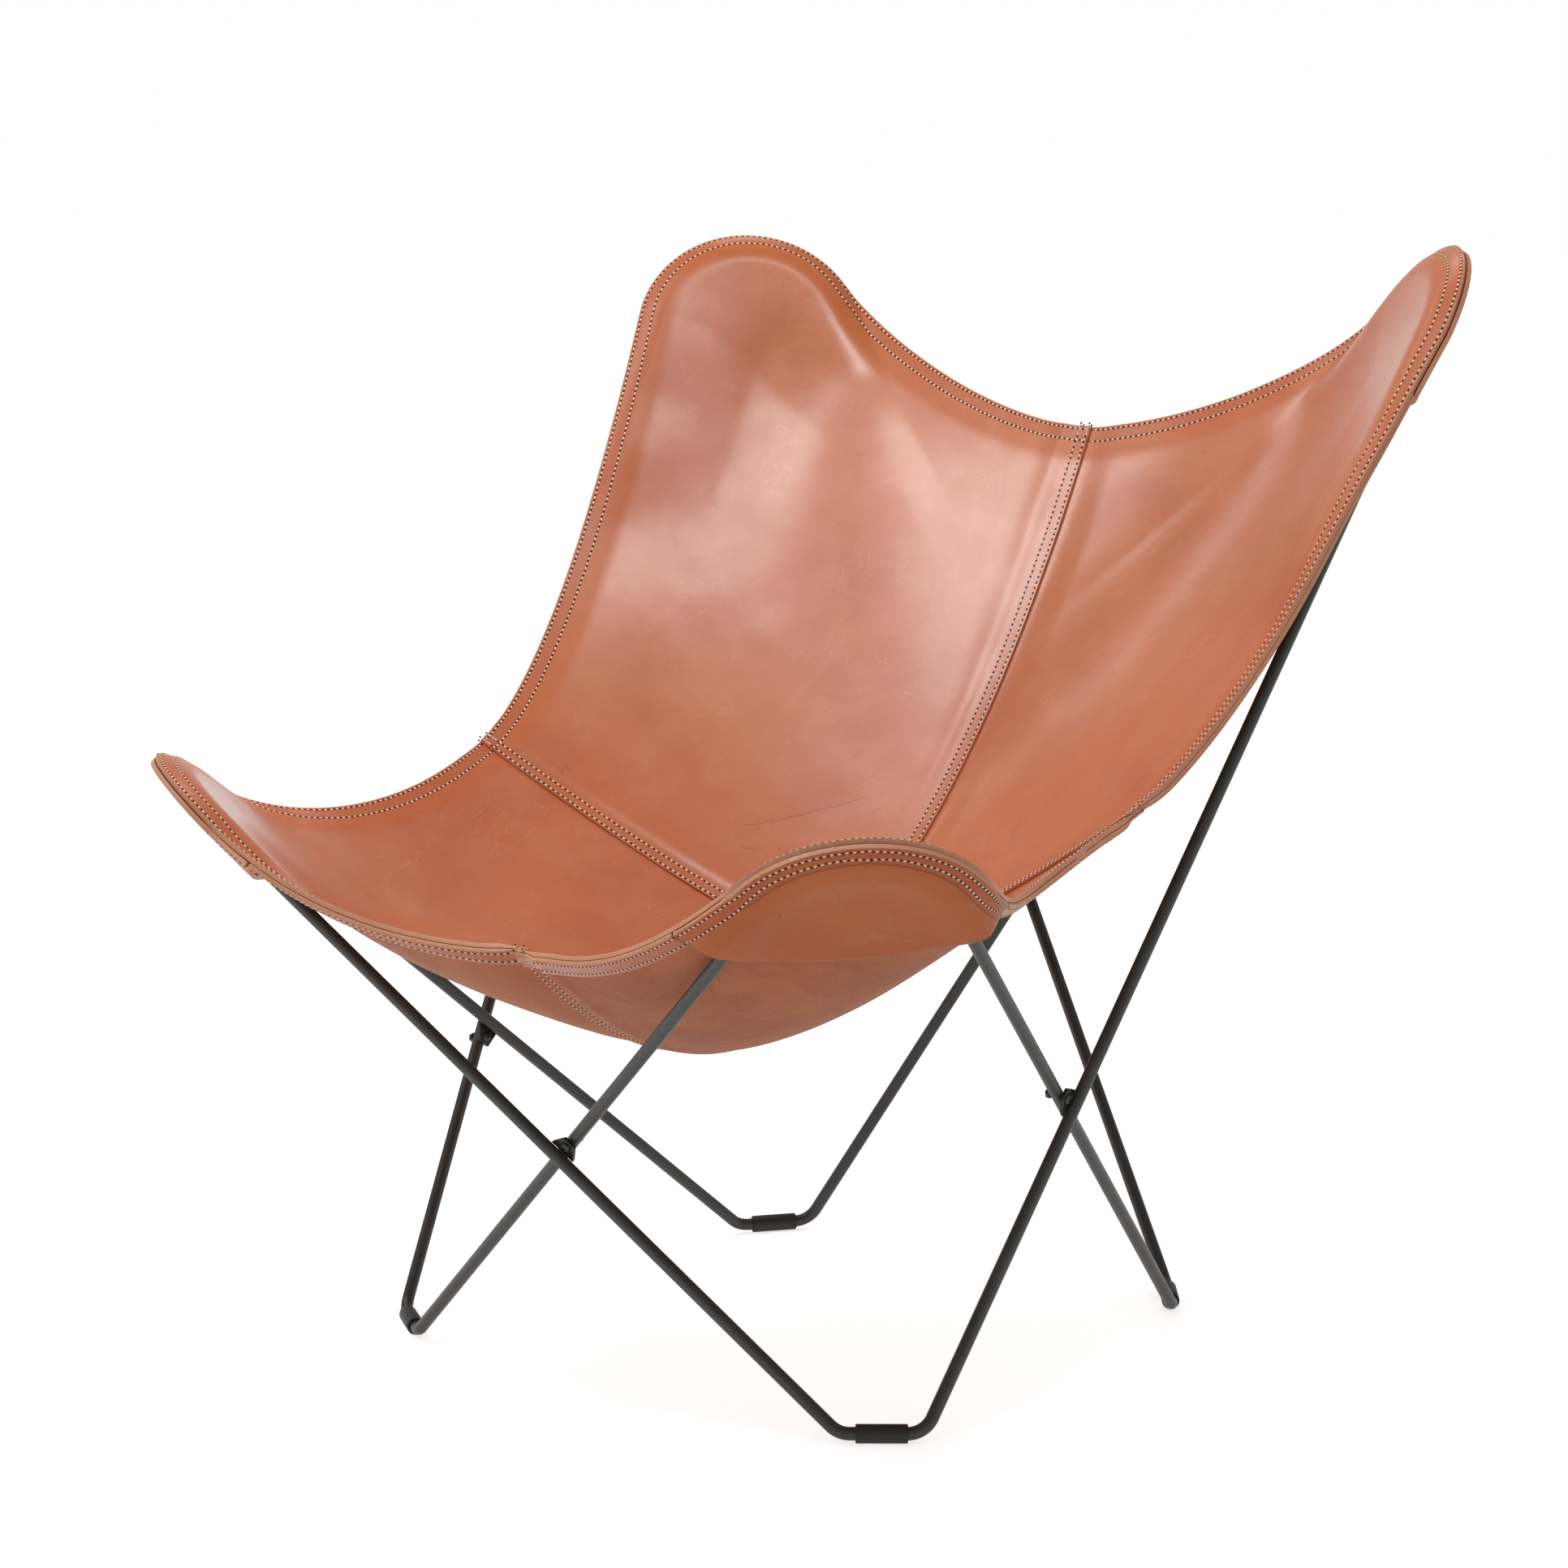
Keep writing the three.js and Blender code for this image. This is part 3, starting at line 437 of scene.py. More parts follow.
def turned(profile, sides, matrix):
    # a profile of (radius, height) spun into a closed shape
    bm = bmesh.new()
    verts = [bm.verts.new((radius, 0, height)) for radius, height in profile]
    edges = [bm.edges.new(pair) for pair in zip(verts, verts[1:])]
    bmesh.ops.spin(bm, geom=verts + edges, cent=(0, 0, 0), axis=(0, 0, 1), angle=2 * math.pi,
                   steps=sides, use_merge=True)
    bmesh.ops.remove_doubles(bm, verts=bm.verts, dist=1e-6)
    bmesh.ops.recalc_face_normals(bm, faces=bm.faces)
    bmesh.ops.transform(bm, matrix=matrix, verts=bm.verts)
    return meshOf(bm, "turned")


def standing(place, up):
    # a matrix that puts a shape's +Z along a direction
    turn = Vector(up).to_track_quat("Z", "X").to_matrix().to_4x4()
    return Matrix.Translation(Vector(place)) @ turn


def sharpen(mesh, degrees):
    # keeps edges above this angle crisp
    bm = bmesh.new()
    bm.from_mesh(mesh)
    for edge in bm.edges:
        if len(edge.link_faces) == 2 and edge.calc_face_angle() > math.radians(degrees):
            edge.smooth = False
    bm.to_mesh(mesh)
    bm.free()


def addSleeve(node, corners, first, second):
    half, rounding = sleeve["length"] / 2, sleeve["round"]
    outer = middleOf(node)[2]
    corner = [(outer - rounding * (1 - math.sin(a)), half - rounding * (1 - math.cos(a)))
              for a in np.linspace(0, math.pi / 2, 5)]
    profile = [(sleeve["bore"], -half)] + [(r, -h) for r, h in corner] + corner[::-1]
    profile += [(sleeve["bore"], half), (sleeve["bore"], -half)]
    along = corners[second] - corners[first]
    mesh = turned(profile, sleeve["sides"], standing(middleOf(node), along))
    addPiece(node.replace("foot_", ""), mesh, ["sleeve"], "foot_sleeve", node)


addSleeve("foot_sleeve_front_right", rightCorners, 0, 5)
addSleeve("foot_sleeve_back_left", rightCorners, 2, 3)
addSleeve("foot_sleeve_front_left", leftCorners, 0, 5)
addSleeve("foot_sleeve_back_right", leftCorners, 2, 3)
print("foot sleeves made")


# Joints: the CAD plates with softened edges, and a round-headed screw with a nut

joint = {
    "screwOffset": 0.011, "screw": 0.0025, "head": 0.0045, "headHeight": 0.0026, "socket": 0.0014,
    "plateTop": 0.0088, "clear": 0.0003, "nut": 0.004, "screwEnd": 0.0015, "tipRound": 0.0004,
    "domeSteps": 6, "domeTurn": 62, "sides": 36, "crispOver": 40, "weldFill": 1.045, "softEdge": 0.0005,
}


def refined(node, width):
    # a merged copy of a CAD node with bevelled edges
    bm = bmesh.new()
    bm.from_mesh(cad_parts[node].data)
    bmesh.ops.remove_doubles(bm, verts=bm.verts, dist=1e-5)
    bmesh.ops.dissolve_limit(bm, angle_limit=math.radians(3), verts=bm.verts, edges=bm.edges)
    sharp = [e for e in bm.edges if len(e.link_faces) == 2 and e.calc_face_angle() > math.radians(35)]
    bmesh.ops.bevel(bm, geom=sharp, offset=width, offset_type="OFFSET", segments=2, profile=0.5,
                    affect="EDGES", clamp_overlap=True, material=-1)
    bmesh.ops.recalc_face_normals(bm, faces=bm.faces)
    mesh = meshOf(bm, node)
    sharpen(mesh, joint["crispOver"])
    return mesh


def addJoint(place, fromA, toA, fromB, toB):
    wayA, wayB = unit(toA - fromA), unit(toB - fromB)
    between, lean = fromB - fromA, dot(wayA, wayB)
    spread = 1 - lean * lean
    atA = fromA + wayA * (dot(between, wayA) - lean * dot(between, wayB)) / spread
    atB = fromB + wayB * (lean * dot(between, wayA) - dot(between, wayB)) / spread
    towards = unit(atA - atB)
    across = unit(wayB - wayA * lean)
    slant = lean / dot(wayB, across)
    foot = atB + wayA * joint["screwOffset"] * slant + across * joint["screwOffset"]
    head, high, socket = joint["head"], joint["headHeight"], joint["socket"]
    seat = joint["plateTop"] + joint["clear"]
    tip = -rods["radius"] - joint["clear"] - joint["nut"] - joint["screwEnd"]
    dome = [(head * math.cos(a), seat + high * 0.25 + high * 0.75 * math.sin(a))
            for a in np.linspace(0, math.radians(joint["domeTurn"]), joint["domeSteps"])]
    shank, rounding, top = joint["screw"], joint["tipRound"], dome[-1][1]
    profile = [(0, tip), (shank - rounding, tip), (shank, tip + rounding), (shank, seat), (head, seat)]
    profile += dome + [(socket, top), (socket, top - high * 0.5), (0, top - high * 0.6)]
    mesh = turned(profile, joint["sides"], standing(foot, towards))
    sharpen(mesh, joint["crispOver"])
    screw, plate, nut = (f"joint_{part}_{place}" for part in ("screw", "plate", "nut"))
    addPiece(f"screw_{place}", mesh, ["fastener"], "fastener", screw)
    # the plate is a little larger all round, to meet the rods as the weld does
    mesh, middle = refined(plate, joint["softEdge"]), Matrix.Translation(Vector(middleOf(plate)))
    mesh.transform(middle @ Matrix.Scale(joint["weldFill"], 4) @ middle.inverted())
    addPiece(f"plate_{place}", mesh, ["plate"], "frame", plate)
    addPiece(f"nut_{place}", refined(nut, joint["softEdge"] * 0.7), ["fastener"], "fastener", nut)


addJoint("front", rightCorners[0], rightCorners[1], leftCorners[0], leftCorners[1])
addJoint("back", rightCorners[3], rightCorners[4], leftCorners[3], leftCorners[4])
addJoint("right", rightCorners[5], rightCorners[4], leftCorners[2], leftCorners[1])
addJoint("left", rightCorners[1], rightCorners[2], leftCorners[4], leftCorners[5])
print("joints made")


# Sling lines, as the panels were cut: outer edges, the seam front to back and the seam across

sling = {
    "edgeMargin": 0.034, "frontNotch": (0, -0.341, 0.390), "frontRuns": (0.040, 0.165),
    "backNotch": (0, 0.455, 0.762), "backRuns": (0.086, 0.100), "sideNotch": (0.354, 0.009, 0.491),
    "sideFrontRuns": (0.193, 0.074), "sideBackRuns": (0.148, 0.012), "sideAim": (0.17, 1, 0.4),
    "middle": (0, 0.075, 0.322), "middleRuns": (0.225, 0.215), "seamRuns": (0.120, 0.206),
    "middleSlope": 0.62, "frontSlope": -0.88, "backSlope": 1.73,
    "crossRuns": (0.050, 0.185), "crossAim": 0.080, "edgeDrops": (0.003, 0.005),
    "lobeLeave": 56, "sideLeaves": (51, 74.5),
}


class Line:
    # a line known by points, read by shares of its length
    def __init__(self, points):
        self.points = points
        steps = np.linalg.norm(np.diff(points, axis=0), axis=1)
        self.lengths = np.concatenate([[0], np.cumsum(steps)])
        self.total = self.lengths[-1]

    def at(self, shares):
        lengths = np.clip(shares, 0, 1) * self.total
        return np.stack([np.interp(lengths, self.lengths, self.points[:, k]) for k in range(3)], axis=-1)


def sweep(start, startAim, endAim, end, count=400):
    t = np.linspace(0, 1, count)[:, None]
    return (start * (1 - t) ** 3 + startAim * 3 * t * (1 - t) ** 2
            + endAim * 3 * t * t * (1 - t) + end * t ** 3)


topBends = {
    ("front", "left"): rightBends[1], ("front", "right"): leftBends[1],
    ("back", "left"): leftBends[4], ("back", "right"): rightBends[4],
}
handSign = {"left": -1, "right": 1}
endSign = {"front": -1, "back": 1}
frontNotch = np.array(sling["frontNotch"]) + origin
backNotch = np.array(sling["backNotch"]) + origin
middle = np.array(sling["middle"]) + origin


def sideNotch(hand):
    return np.array(sling["sideNotch"]) * (handSign[hand], 1, 1) + origin


def edgeHalf(notch, aim, runs, bend, sense, leave, drop):
    leave = math.radians(leave)
    arc = bend.arc(sense, bend.radius + sling["edgeMargin"], leave, 0, -drop, 400)
    down = -bend.out * math.sin(leave) + bend.side * sense * math.cos(leave)
    run = sweep(notch, notch + unit(aim) * runs[0], arc[0] + down * runs[1], arc[0])
    return Line(np.concatenate([run, arc[1:]]))


def outerEdges(hand):
    x = handSign[hand]
    across, aim = np.array([x, 0.0, 0.0]), np.array(sling["sideAim"]) * (x, 1, 1)
    front, back = topBends["front", hand], topBends["back", hand]
    frontDrop, backDrop = sling["edgeDrops"]
    return {
        "front": edgeHalf(frontNotch, across, sling["frontRuns"], front, 1, sling["lobeLeave"], frontDrop),
        "back": edgeHalf(backNotch, across, sling["backRuns"], back, 1, sling["lobeLeave"], backDrop),
        "sideFront": edgeHalf(sideNotch(hand), -aim, sling["sideFrontRuns"], front, -1,
                              sling["sideLeaves"][0], frontDrop),
        "sideBack": edgeHalf(sideNotch(hand), aim, sling["sideBackRuns"], back, -1,
                             sling["sideLeaves"][1], backDrop),
    }


def crossSeam(hand):
    across, notch = np.array([handSign[hand], 0.0, 0.0]), sideNotch(hand)
    aim = unit(notch - middle - across * sling["crossAim"])
    near, far = sling["crossRuns"]
    return Line(sweep(middle, middle + across * near, notch - aim * far, notch))


def seamHalf(end, notch, slope):
    sign, i = endSign[end], (endSign[end] + 1) // 2
    start = unit(np.array([0, 1, sling["middleSlope"]])) * sign * sling["middleRuns"][i]
    last = unit(np.array([0, 1, slope])) * -sign * sling["seamRuns"][i]
    return Line(sweep(middle, middle + start, notch + last, notch))


leftEdges, rightEdges = outerEdges("left"), outerEdges("right")
frontSeam = seamHalf("front", frontNotch, sling["frontSlope"])
backSeam = seamHalf("back", backNotch, sling["backSlope"])
crossLines = [(leftEdges["front"], rightEdges["front"]), (crossSeam("left"), crossSeam("right")),
              (leftEdges["back"], rightEdges["back"])]
uprightLines = [(leftEdges["sideFront"], leftEdges["sideBack"]), (frontSeam, backSeam),
                (rightEdges["sideFront"], rightEdges["sideBack"])]


def onLine(pair, shares):
    before, after = pair
    mean, more = (before.total + after.total) / 2, (after.total - before.total) / 2
    along = mean * shares + more * shares * shares
    return np.where(along[..., None] < 0, before.at(-along / before.total), after.at(along / after.total))


def blend(shares):
    return [shares * (shares - 1) / 2, 1 - shares * shares, shares * (shares + 1) / 2]


meets = [[onLine(line, np.array([float(across)]))[0] for line in crossLines] for across in (-1, 0, 1)]


def slingPoint(across, upright):
    # the sling's middle surface, blended through its three lines each way
    blendAcross, blendUpright = blend(across), blend(upright)
    point = np.zeros((*across.shape, 3))
    for i in range(3):
        point += onLine(crossLines[i], across) * blendUpright[i][..., None]
        point += onLine(uprightLines[i], upright) * blendAcross[i][..., None]
        for j in range(3):
            point -= meets[i][j] * (blendAcross[i] * blendUpright[j])[..., None]
    return point


# Leather: how it lies over the rods and over itself

leather = {
    "thickness": 0.004, "clear": 0.0003, "lap": 0.014, "rodRelief": 0.0013, "bandWidth": 0.018,
    "onRodStep": 0.022, "onRodLeg": 0.340, "onRodSoftness": 0.005, "heldStep": 0.060, "heldFree": 0.130,
    "rimKeeps": 0.12, "clearOfRod": 0.002, "raiseSteps": 161, "slopeStep": 0.006, "pastSeam": 0.2,
    "bandRoomFrom": 0.090, "bandRoomFade": 0.070, "pocketReach": 0.168, "skivedShare": 0.52,
    "step": 0.005, "rimRound": 0.0009, "ripple": 0.0006, "rippleSize": 0.11,
}
overRod = rods["radius"] + leather["clear"] + leather["thickness"] / 2 + leather["rodRelief"]


def atBend(bend, points):
    # height over the loop's plane, place in it, and how far outside the rod's centre line
    away = points - bend.centre
    height, outwards, sideways = dot(away, bend.normal), dot(away, bend.out), dot(away, bend.side)
    past = np.where(downLegs(bend, points) > 0,
                    outwards * math.sin(bend.half) + np.abs(sideways) * math.cos(bend.half),
                    np.hypot(outwards, sideways)) - bend.radius
    return height, outwards, sideways, past


def downLegs(bend, points):
    # how far down the legs of the rod's bend a place lies
    away = points - bend.centre
    return np.abs(dot(away, bend.side)) * math.sin(bend.half) - dot(away, bend.out) * math.cos(bend.half)


class Raise:
    # how far the hide is raised off its hung form to lie over the rod: it bends as a thin plate does
    def __init__(self, panel):
        self.bend = bend = panel.bend
        even = np.linspace(0, 1, leather["raiseSteps"])
        across, upright = (part.ravel() for part in np.meshgrid(even, even))
        hung = slingPoint(across * panel.x, upright * panel.y)
        height, outwards, sideways, past = atBend(bend, hung)
        spots, rises = [], []
        for spot in self.alongRod():
            away = np.hypot(outwards - spot[0], sideways - spot[1])
            close = np.argsort(away)[:4]
            if away[close[0]] > leather["onRodStep"] / 2:
                continue
            share = 1 / (away[close] + 1e-4)
            room = panel.bandRoom(across[close], upright[close], hung[close])
            lack = float(np.sum((overRod + room - height[close]) * share) / share.sum())
            if lack < -leather["clearOfRod"]:
                continue
            spots.append(spot)
            rises.append((lack + math.hypot(lack, leather["onRodSoftness"])) / 2)
        edge = ((across == 1) | (upright == 1)) & (past > leather["heldFree"])
        border = (across == 0) | (upright == 0) | edge
        held = []
        for spot in zip(outwards[border], sideways[border]):
            if all(math.dist(spot, other) > leather["heldStep"] for other in held):
                held.append(spot)
        self.spots = np.array(spots + held)
        rises = np.array(rises + [0.0] * len(held))
        plane = np.column_stack([np.ones(len(self.spots)), self.spots])
        matrix = np.block([[self.reach(self.spots), plane], [plane.T, np.zeros((3, 3))]])
        self.shares = np.linalg.solve(matrix, np.concatenate([rises, np.zeros(3)]))

    def alongRod(self):
        # places on the rod's centre line: round its bend, then down both legs
        radius, turn = self.bend.radius, math.pi / 2 - self.bend.half
        angles = np.linspace(-turn, turn, int(2 * turn * radius / leather["onRodStep"]) | 1)
        spots = [(radius * math.cos(angle), radius * math.sin(angle)) for angle in angles]
        for run in np.arange(leather["onRodStep"], leather["onRodLeg"], leather["onRodStep"]):
            down = radius * math.cos(turn) - run * math.sin(turn)
            wide = radius * math.sin(turn) + run * math.cos(turn)
            spots += [(down, -wide), (down, wide)]
        return spots

    def reach(self, places):
        away = np.linalg.norm(places[:, None] - self.spots[None], axis=2)
        return away ** 2 * np.log(away + 1e-9)

    def at(self, outwards, sideways):
        shape, places = outwards.shape, np.column_stack([outwards.ravel(), sideways.ravel()])
        plane = np.column_stack([np.ones(len(places)), places])
        return (np.column_stack([self.reach(places), plane]) @ self.shares).reshape(shape)


def ripples(points):
    # soft unevenness of a thick hide
    size = leather["rippleSize"]
    return np.array([noise.noise(Vector(p) / size) + 0.4 * noise.noise(Vector(p) / (size * 0.37))
                     for p in points])


class Panel:
    # shares run from the seams (0) out to the edges (1), across and upright
    def __init__(self, end, hand):
        self.end, self.hand, self.name = end, hand, f"{end}_{hand}"
        self.bend = topBends[end, hand]
        self.x, self.y = handSign[hand], endSign[end]
        side, row = (self.x + 1) // 2, (self.y + 1) // 2
        self.acrossSeam, self.acrossEdge = self.lengths([crossLines[1], crossLines[2 * row]], side)
        self.uprightSeam, self.uprightEdge = self.lengths([uprightLines[1], uprightLines[2 * side]], row)
        self.acrossLap = leather["lap"] / 2 / self.acrossSeam
        self.uprightLap = leather["lap"] / 2 / self.uprightSeam
        self.acrossBand = leather["bandWidth"] / self.acrossEdge
        self.uprightBand = leather["bandWidth"] / self.uprightEdge
        self.over, self.above = self.y, -self.x
        # where its top layer starts, past the seams that it lies over
        self.starts = -self.above * self.acrossLap, -self.over * self.uprightLap
        self.onRod = Raise(self)

    def lengths(self, lines, part):
        atSeam = np.mean([(line[0].total + line[1].total) / 2 for line in lines])
        atEdge = np.mean([(3 * line[part].total - line[1 - part].total) / 2 for line in lines])
        return atSeam, atEdge

    def bandRoom(self, across, upright, points):
        # the edge bands pass over the rod too, past the end of the pocket
        fromEdge = np.minimum((1 - across) * self.acrossEdge, (1 - upright) * self.uprightEdge)
        nearEdge = 1 - smooth(fromEdge, leather["bandWidth"], leather["bandRoomFade"])
        pastPocket = smooth(downLegs(self.bend, points), leather["bandRoomFrom"], leather["pocketReach"])
        return (leather["thickness"] + leather["clear"]) * nearEdge * pastPocket

    def base(self, across, upright):
        points = slingPoint(across * self.x, upright * self.y)
        _, outwards, sideways, past = atBend(self.bend, points)
        falling = 1 - (1 - leather["rimKeeps"]) * np.clip(past / sling["edgeMargin"], 0, 1) ** 2
        return points + self.bend.normal * (self.onRod.at(outwards, sideways) * falling)[..., None]

    def fullness(self, across, upright):
        # share of the hide's thickness that is left: the laps are skived
        nearest = np.minimum(np.abs(across) / self.acrossLap, np.abs(upright) / self.uprightLap)
        return leather["skivedShare"] + (1 - leather["skivedShare"]) * smooth(nearest, 1, 3)

    def place(self, across, upright, layer=0):
        # a point of the panel, or of a layer under it, with its lift over or under its neighbours,
        # and the way square to it
        step, least = leather["slopeStep"], -leather["pastSeam"]
        a0, a1 = np.maximum(across - step, least), np.minimum(across + step, 1)
        u0, u1 = np.maximum(upright - step, least), np.minimum(upright + step, 1)
        wayAcross = unit(self.base(a1, upright) - self.base(a0, upright)) * self.x
        wayUpright = unit(self.base(across, u1) - self.base(across, u0)) * self.y
        normal = unit(np.cross(wayAcross, wayUpright) + self.bend.normal * 0.02)
        atMiddle = 1 - smooth((np.abs(across) / self.acrossLap - 1) / 5, 0, 1)
        atCross = 1 - smooth((np.abs(upright) / self.uprightLap - 1) / 5, 0, 1)
        layerStep = (leather["thickness"] * self.fullness(across, upright) + leather["clear"]) / 2
        lift = layerStep * (self.over * (1 + atMiddle) * atCross + self.above * atMiddle + 2 * layer)
        point = self.base(across, upright)
        _, _, _, past = atBend(self.bend, point)
        calm = smooth(np.abs(past), 0.02, 0.09)
        lift = lift + leather["ripple"] * ripples(point) * calm
        return point + normal * lift[..., None], normal


def runShares(lap, band, length):
    # from past the seam out to the edge, finer at both ends
    inner = np.linspace(-lap, 6 * lap, 20)
    outer = np.linspace(1 - band, 1, 9)
    count = int((outer[0] - inner[-1]) * length / leather["step"])
    return np.concatenate([inner, np.linspace(inner[-1], outer[0], count + 2)[1:-1], outer])


def grid(columns, rows, place):
    # a grid of faces, each corner put where place(u, v) says, and the corners' shares of full thickness
    bm = bmesh.new()
    bmesh.ops.create_grid(bm, x_segments=columns - 1, y_segments=rows - 1, size=0.5)
    flat = np.array([vert.co[:2] for vert in bm.verts]) + 0.5
    points, normals, full = place(flat[:, 0], flat[:, 1])
    for vert, point in zip(bm.verts, points):
        vert.co = point
    bm.normal_update()
    facing = sum(vert.normal.dot(Vector(n)) for vert, n in zip(bm.verts, normals))
    if facing < 0:
        bmesh.ops.reverse_faces(bm, faces=bm.faces)
    return meshOf(bm, "grid"), full


def nearness(mesh, attribute, lines, step=0.001):
    # each corner's distance to the nearest of these lines, for the shaders
    spots = [(9, 9, 9)]
    for line in (Line(points) for points, _ in lines):
        spots += list(line.at(np.linspace(0, 1, max(2, int(line.total / step) + 1))))
    tree = KDTree(len(spots))
    for index, spot in enumerate(spots):
        tree.insert(Vector(spot), index)
    tree.balance()
    layer = mesh.attributes.new(attribute, "FLOAT", "POINT")
    layer.data.foreach_set("value", [tree.find(vert.co)[2] for vert in mesh.vertices])


def addHide(name, node, looks, slot, panel, layer, columns, rows, place):
    # a leather piece: the middle surface of one layer, what its shaders read, and its thickness
    mesh, full = grid(columns, rows, place)
    nearness(mesh, "edgeNear", [rimOf(panel, layer)])
    nearness(mesh, "lapNear", lapLines(panel) if layer == 0 else [])
    piece = addPiece(name, mesh, looks, slot, node)
    group = piece.vertex_groups.new(name="full")
    for index, share in enumerate(full):
        group.add([index], share, "REPLACE")
    solid = piece.modifiers.new("thickness", "SOLIDIFY")
    solid.vertex_group = "full"
    solid.thickness = leather["thickness"]
    solid.offset = 0
    solid.use_even_offset = True
    solid.material_offset = 1
    solid.material_offset_rim = 2
    rounded = piece.modifiers.new("rim", "BEVEL")
    rounded.width = leather["rimRound"]
    rounded.segments = 3
    rounded.limit_method = "ANGLE"
    rounded.angle_limit = math.radians(60)
    return piece


def surfaceOf(pieces, thick):
    # the middle surfaces of these pieces, or the faces of their full thickness, to set things on
    verts, faces = [], []
    scene = bpy.context.evaluated_depsgraph_get()
    for piece in pieces:
        start = len(verts)
        mesh = piece.evaluated_get(scene).data if thick else piece.data
        verts += [vert.co.copy() for vert in mesh.vertices]
        faces += [[start + i for i in polygon.vertices] for polygon in mesh.polygons]
    return BVHTree.FromPolygons(verts, faces)


def rimOf(panel, layer=0, starts=None, count=260):
    # the panel's outer edge: from the middle seam round the lobe's tip to the cross seam
    fromAcross, fromUpright = starts or (-panel.acrossLap, -panel.uprightLap)
    across = np.concatenate([np.linspace(fromAcross, 1, count), np.ones(count - 1)])
    upright = np.concatenate([np.ones(count), np.linspace(1, fromUpright, count)[1:]])
    return panel.place(across, upright, layer)


def lapLines(panel, count=240):
    # the panel's seam borders that lie on top, and so show
    lines, (fromAcross, fromUpright) = [], panel.starts
    if panel.hand == "left":
        lines.append(panel.place(np.full(count, -panel.acrossLap), np.linspace(fromUpright, 1, count)))
    if panel.end == "back":
        lines.append(panel.place(np.linspace(fromAcross, 1, count), np.full(count, -panel.uprightLap)))
    return lines


panels = [Panel(end, hand) for end in ("front", "back") for hand in ("left", "right")]
sheets = {}
for panel in panels:
    acrossShares = runShares(panel.acrossLap, panel.acrossBand, panel.acrossEdge)
    uprightShares = runShares(panel.uprightLap, panel.uprightBand, panel.uprightEdge)

    def onPanel(u, v):
        across = np.interp(u, np.linspace(0, 1, len(acrossShares)), acrossShares)
        upright = np.interp(v, np.linspace(0, 1, len(uprightShares)), uprightShares)
        return *panel.place(across, upright), panel.fullness(across, upright)

    sheets[panel.name] = addHide(f"sling_{panel.name}", f"panel_{panel.name}", ["face", "back", "edge"],
                                 "leather", panel, 0, len(acrossShares), len(uprightShares), onPanel)
print("panels made")


# Edge bands, under the outer edges from pocket to notch

pocket = {
    "bow": 0.022, "rodMargin": 0.010, "toBand": 0.002, "ridge": 0.002, "ridgeWidth": 0.016,
    "search": 0.06, "deep": 0.05, "underPanel": 0.0046, "rimSteps": 60, "columns": 110, "rows": 44,
}
coarse = {"seamRamp": (-1, 1, 3, 6), "steps": 14, "easing": 1.25}


def coarseShares(lap, band):
    # the CAD panel's own grid, so that pockets and bands end where its solids do
    ramp = [share * lap for share in coarse["seamRamp"]]
    span = 1 - band - ramp[-1]
    steps = coarse["steps"]
    eased = [1 - band - span * (i / steps) ** coarse["easing"] for i in range(steps - 1, -1, -1)]
    return np.array(ramp + eased + [1])[::-1]


def pocketShares(panel):
    ends = []
    for lap, band, alongEnd in ((panel.acrossLap, panel.acrossBand, True),
                                (panel.uprightLap, panel.uprightBand, False)):
        shares = coarseShares(lap, band)
        ones = np.ones(len(shares))
        points, _ = panel.place(shares, ones) if alongEnd else panel.place(ones, shares)
        lengths = np.concatenate([[0], np.cumsum(np.linalg.norm(np.diff(points, axis=0), axis=1))])
        ends.append(shares[np.argmax(lengths >= leather["pocketReach"])])
    return ends


def addBand(panel, name, alongEnd):
    acrossEnd, uprightEnd = pocketShares(panel)
    if alongEnd:
        lap, band, start, length = panel.acrossLap, panel.uprightBand, acrossEnd, panel.acrossEdge
        lapsOver = panel.hand == "left"
    else:
        lap, band, start, length = panel.uprightLap, panel.acrossBand, uprightEnd, panel.uprightEdge
        lapsOver = panel.end == "back"
    last = lap + 2 * leather["clear"] / length if lapsOver else -lap
    first = start - pocket["toBand"] / length
    count = int((first - last) * length / leather["step"])

    def onBand(u, v):
        along = first + (last - first) * u
        out = 1 - band * (1 - v)
        across, upright = (along, out) if alongEnd else (out, along)
        return *panel.place(across, upright, -1), panel.fullness(across, upright)

    return addHide(name, f"edge_{name}", ["back", "face", "edge"], "leather_back", panel, -1, count, 9, onBand)


bands = {}
for panel in panels:
    bands[panel.name] = [addBand(panel, f"band_{panel.name}", True),
                         addBand(panel, f"band_side_{panel.name}", False)]
print("edge bands made")


# Pockets, which hold the lobes on the rods' upper bends

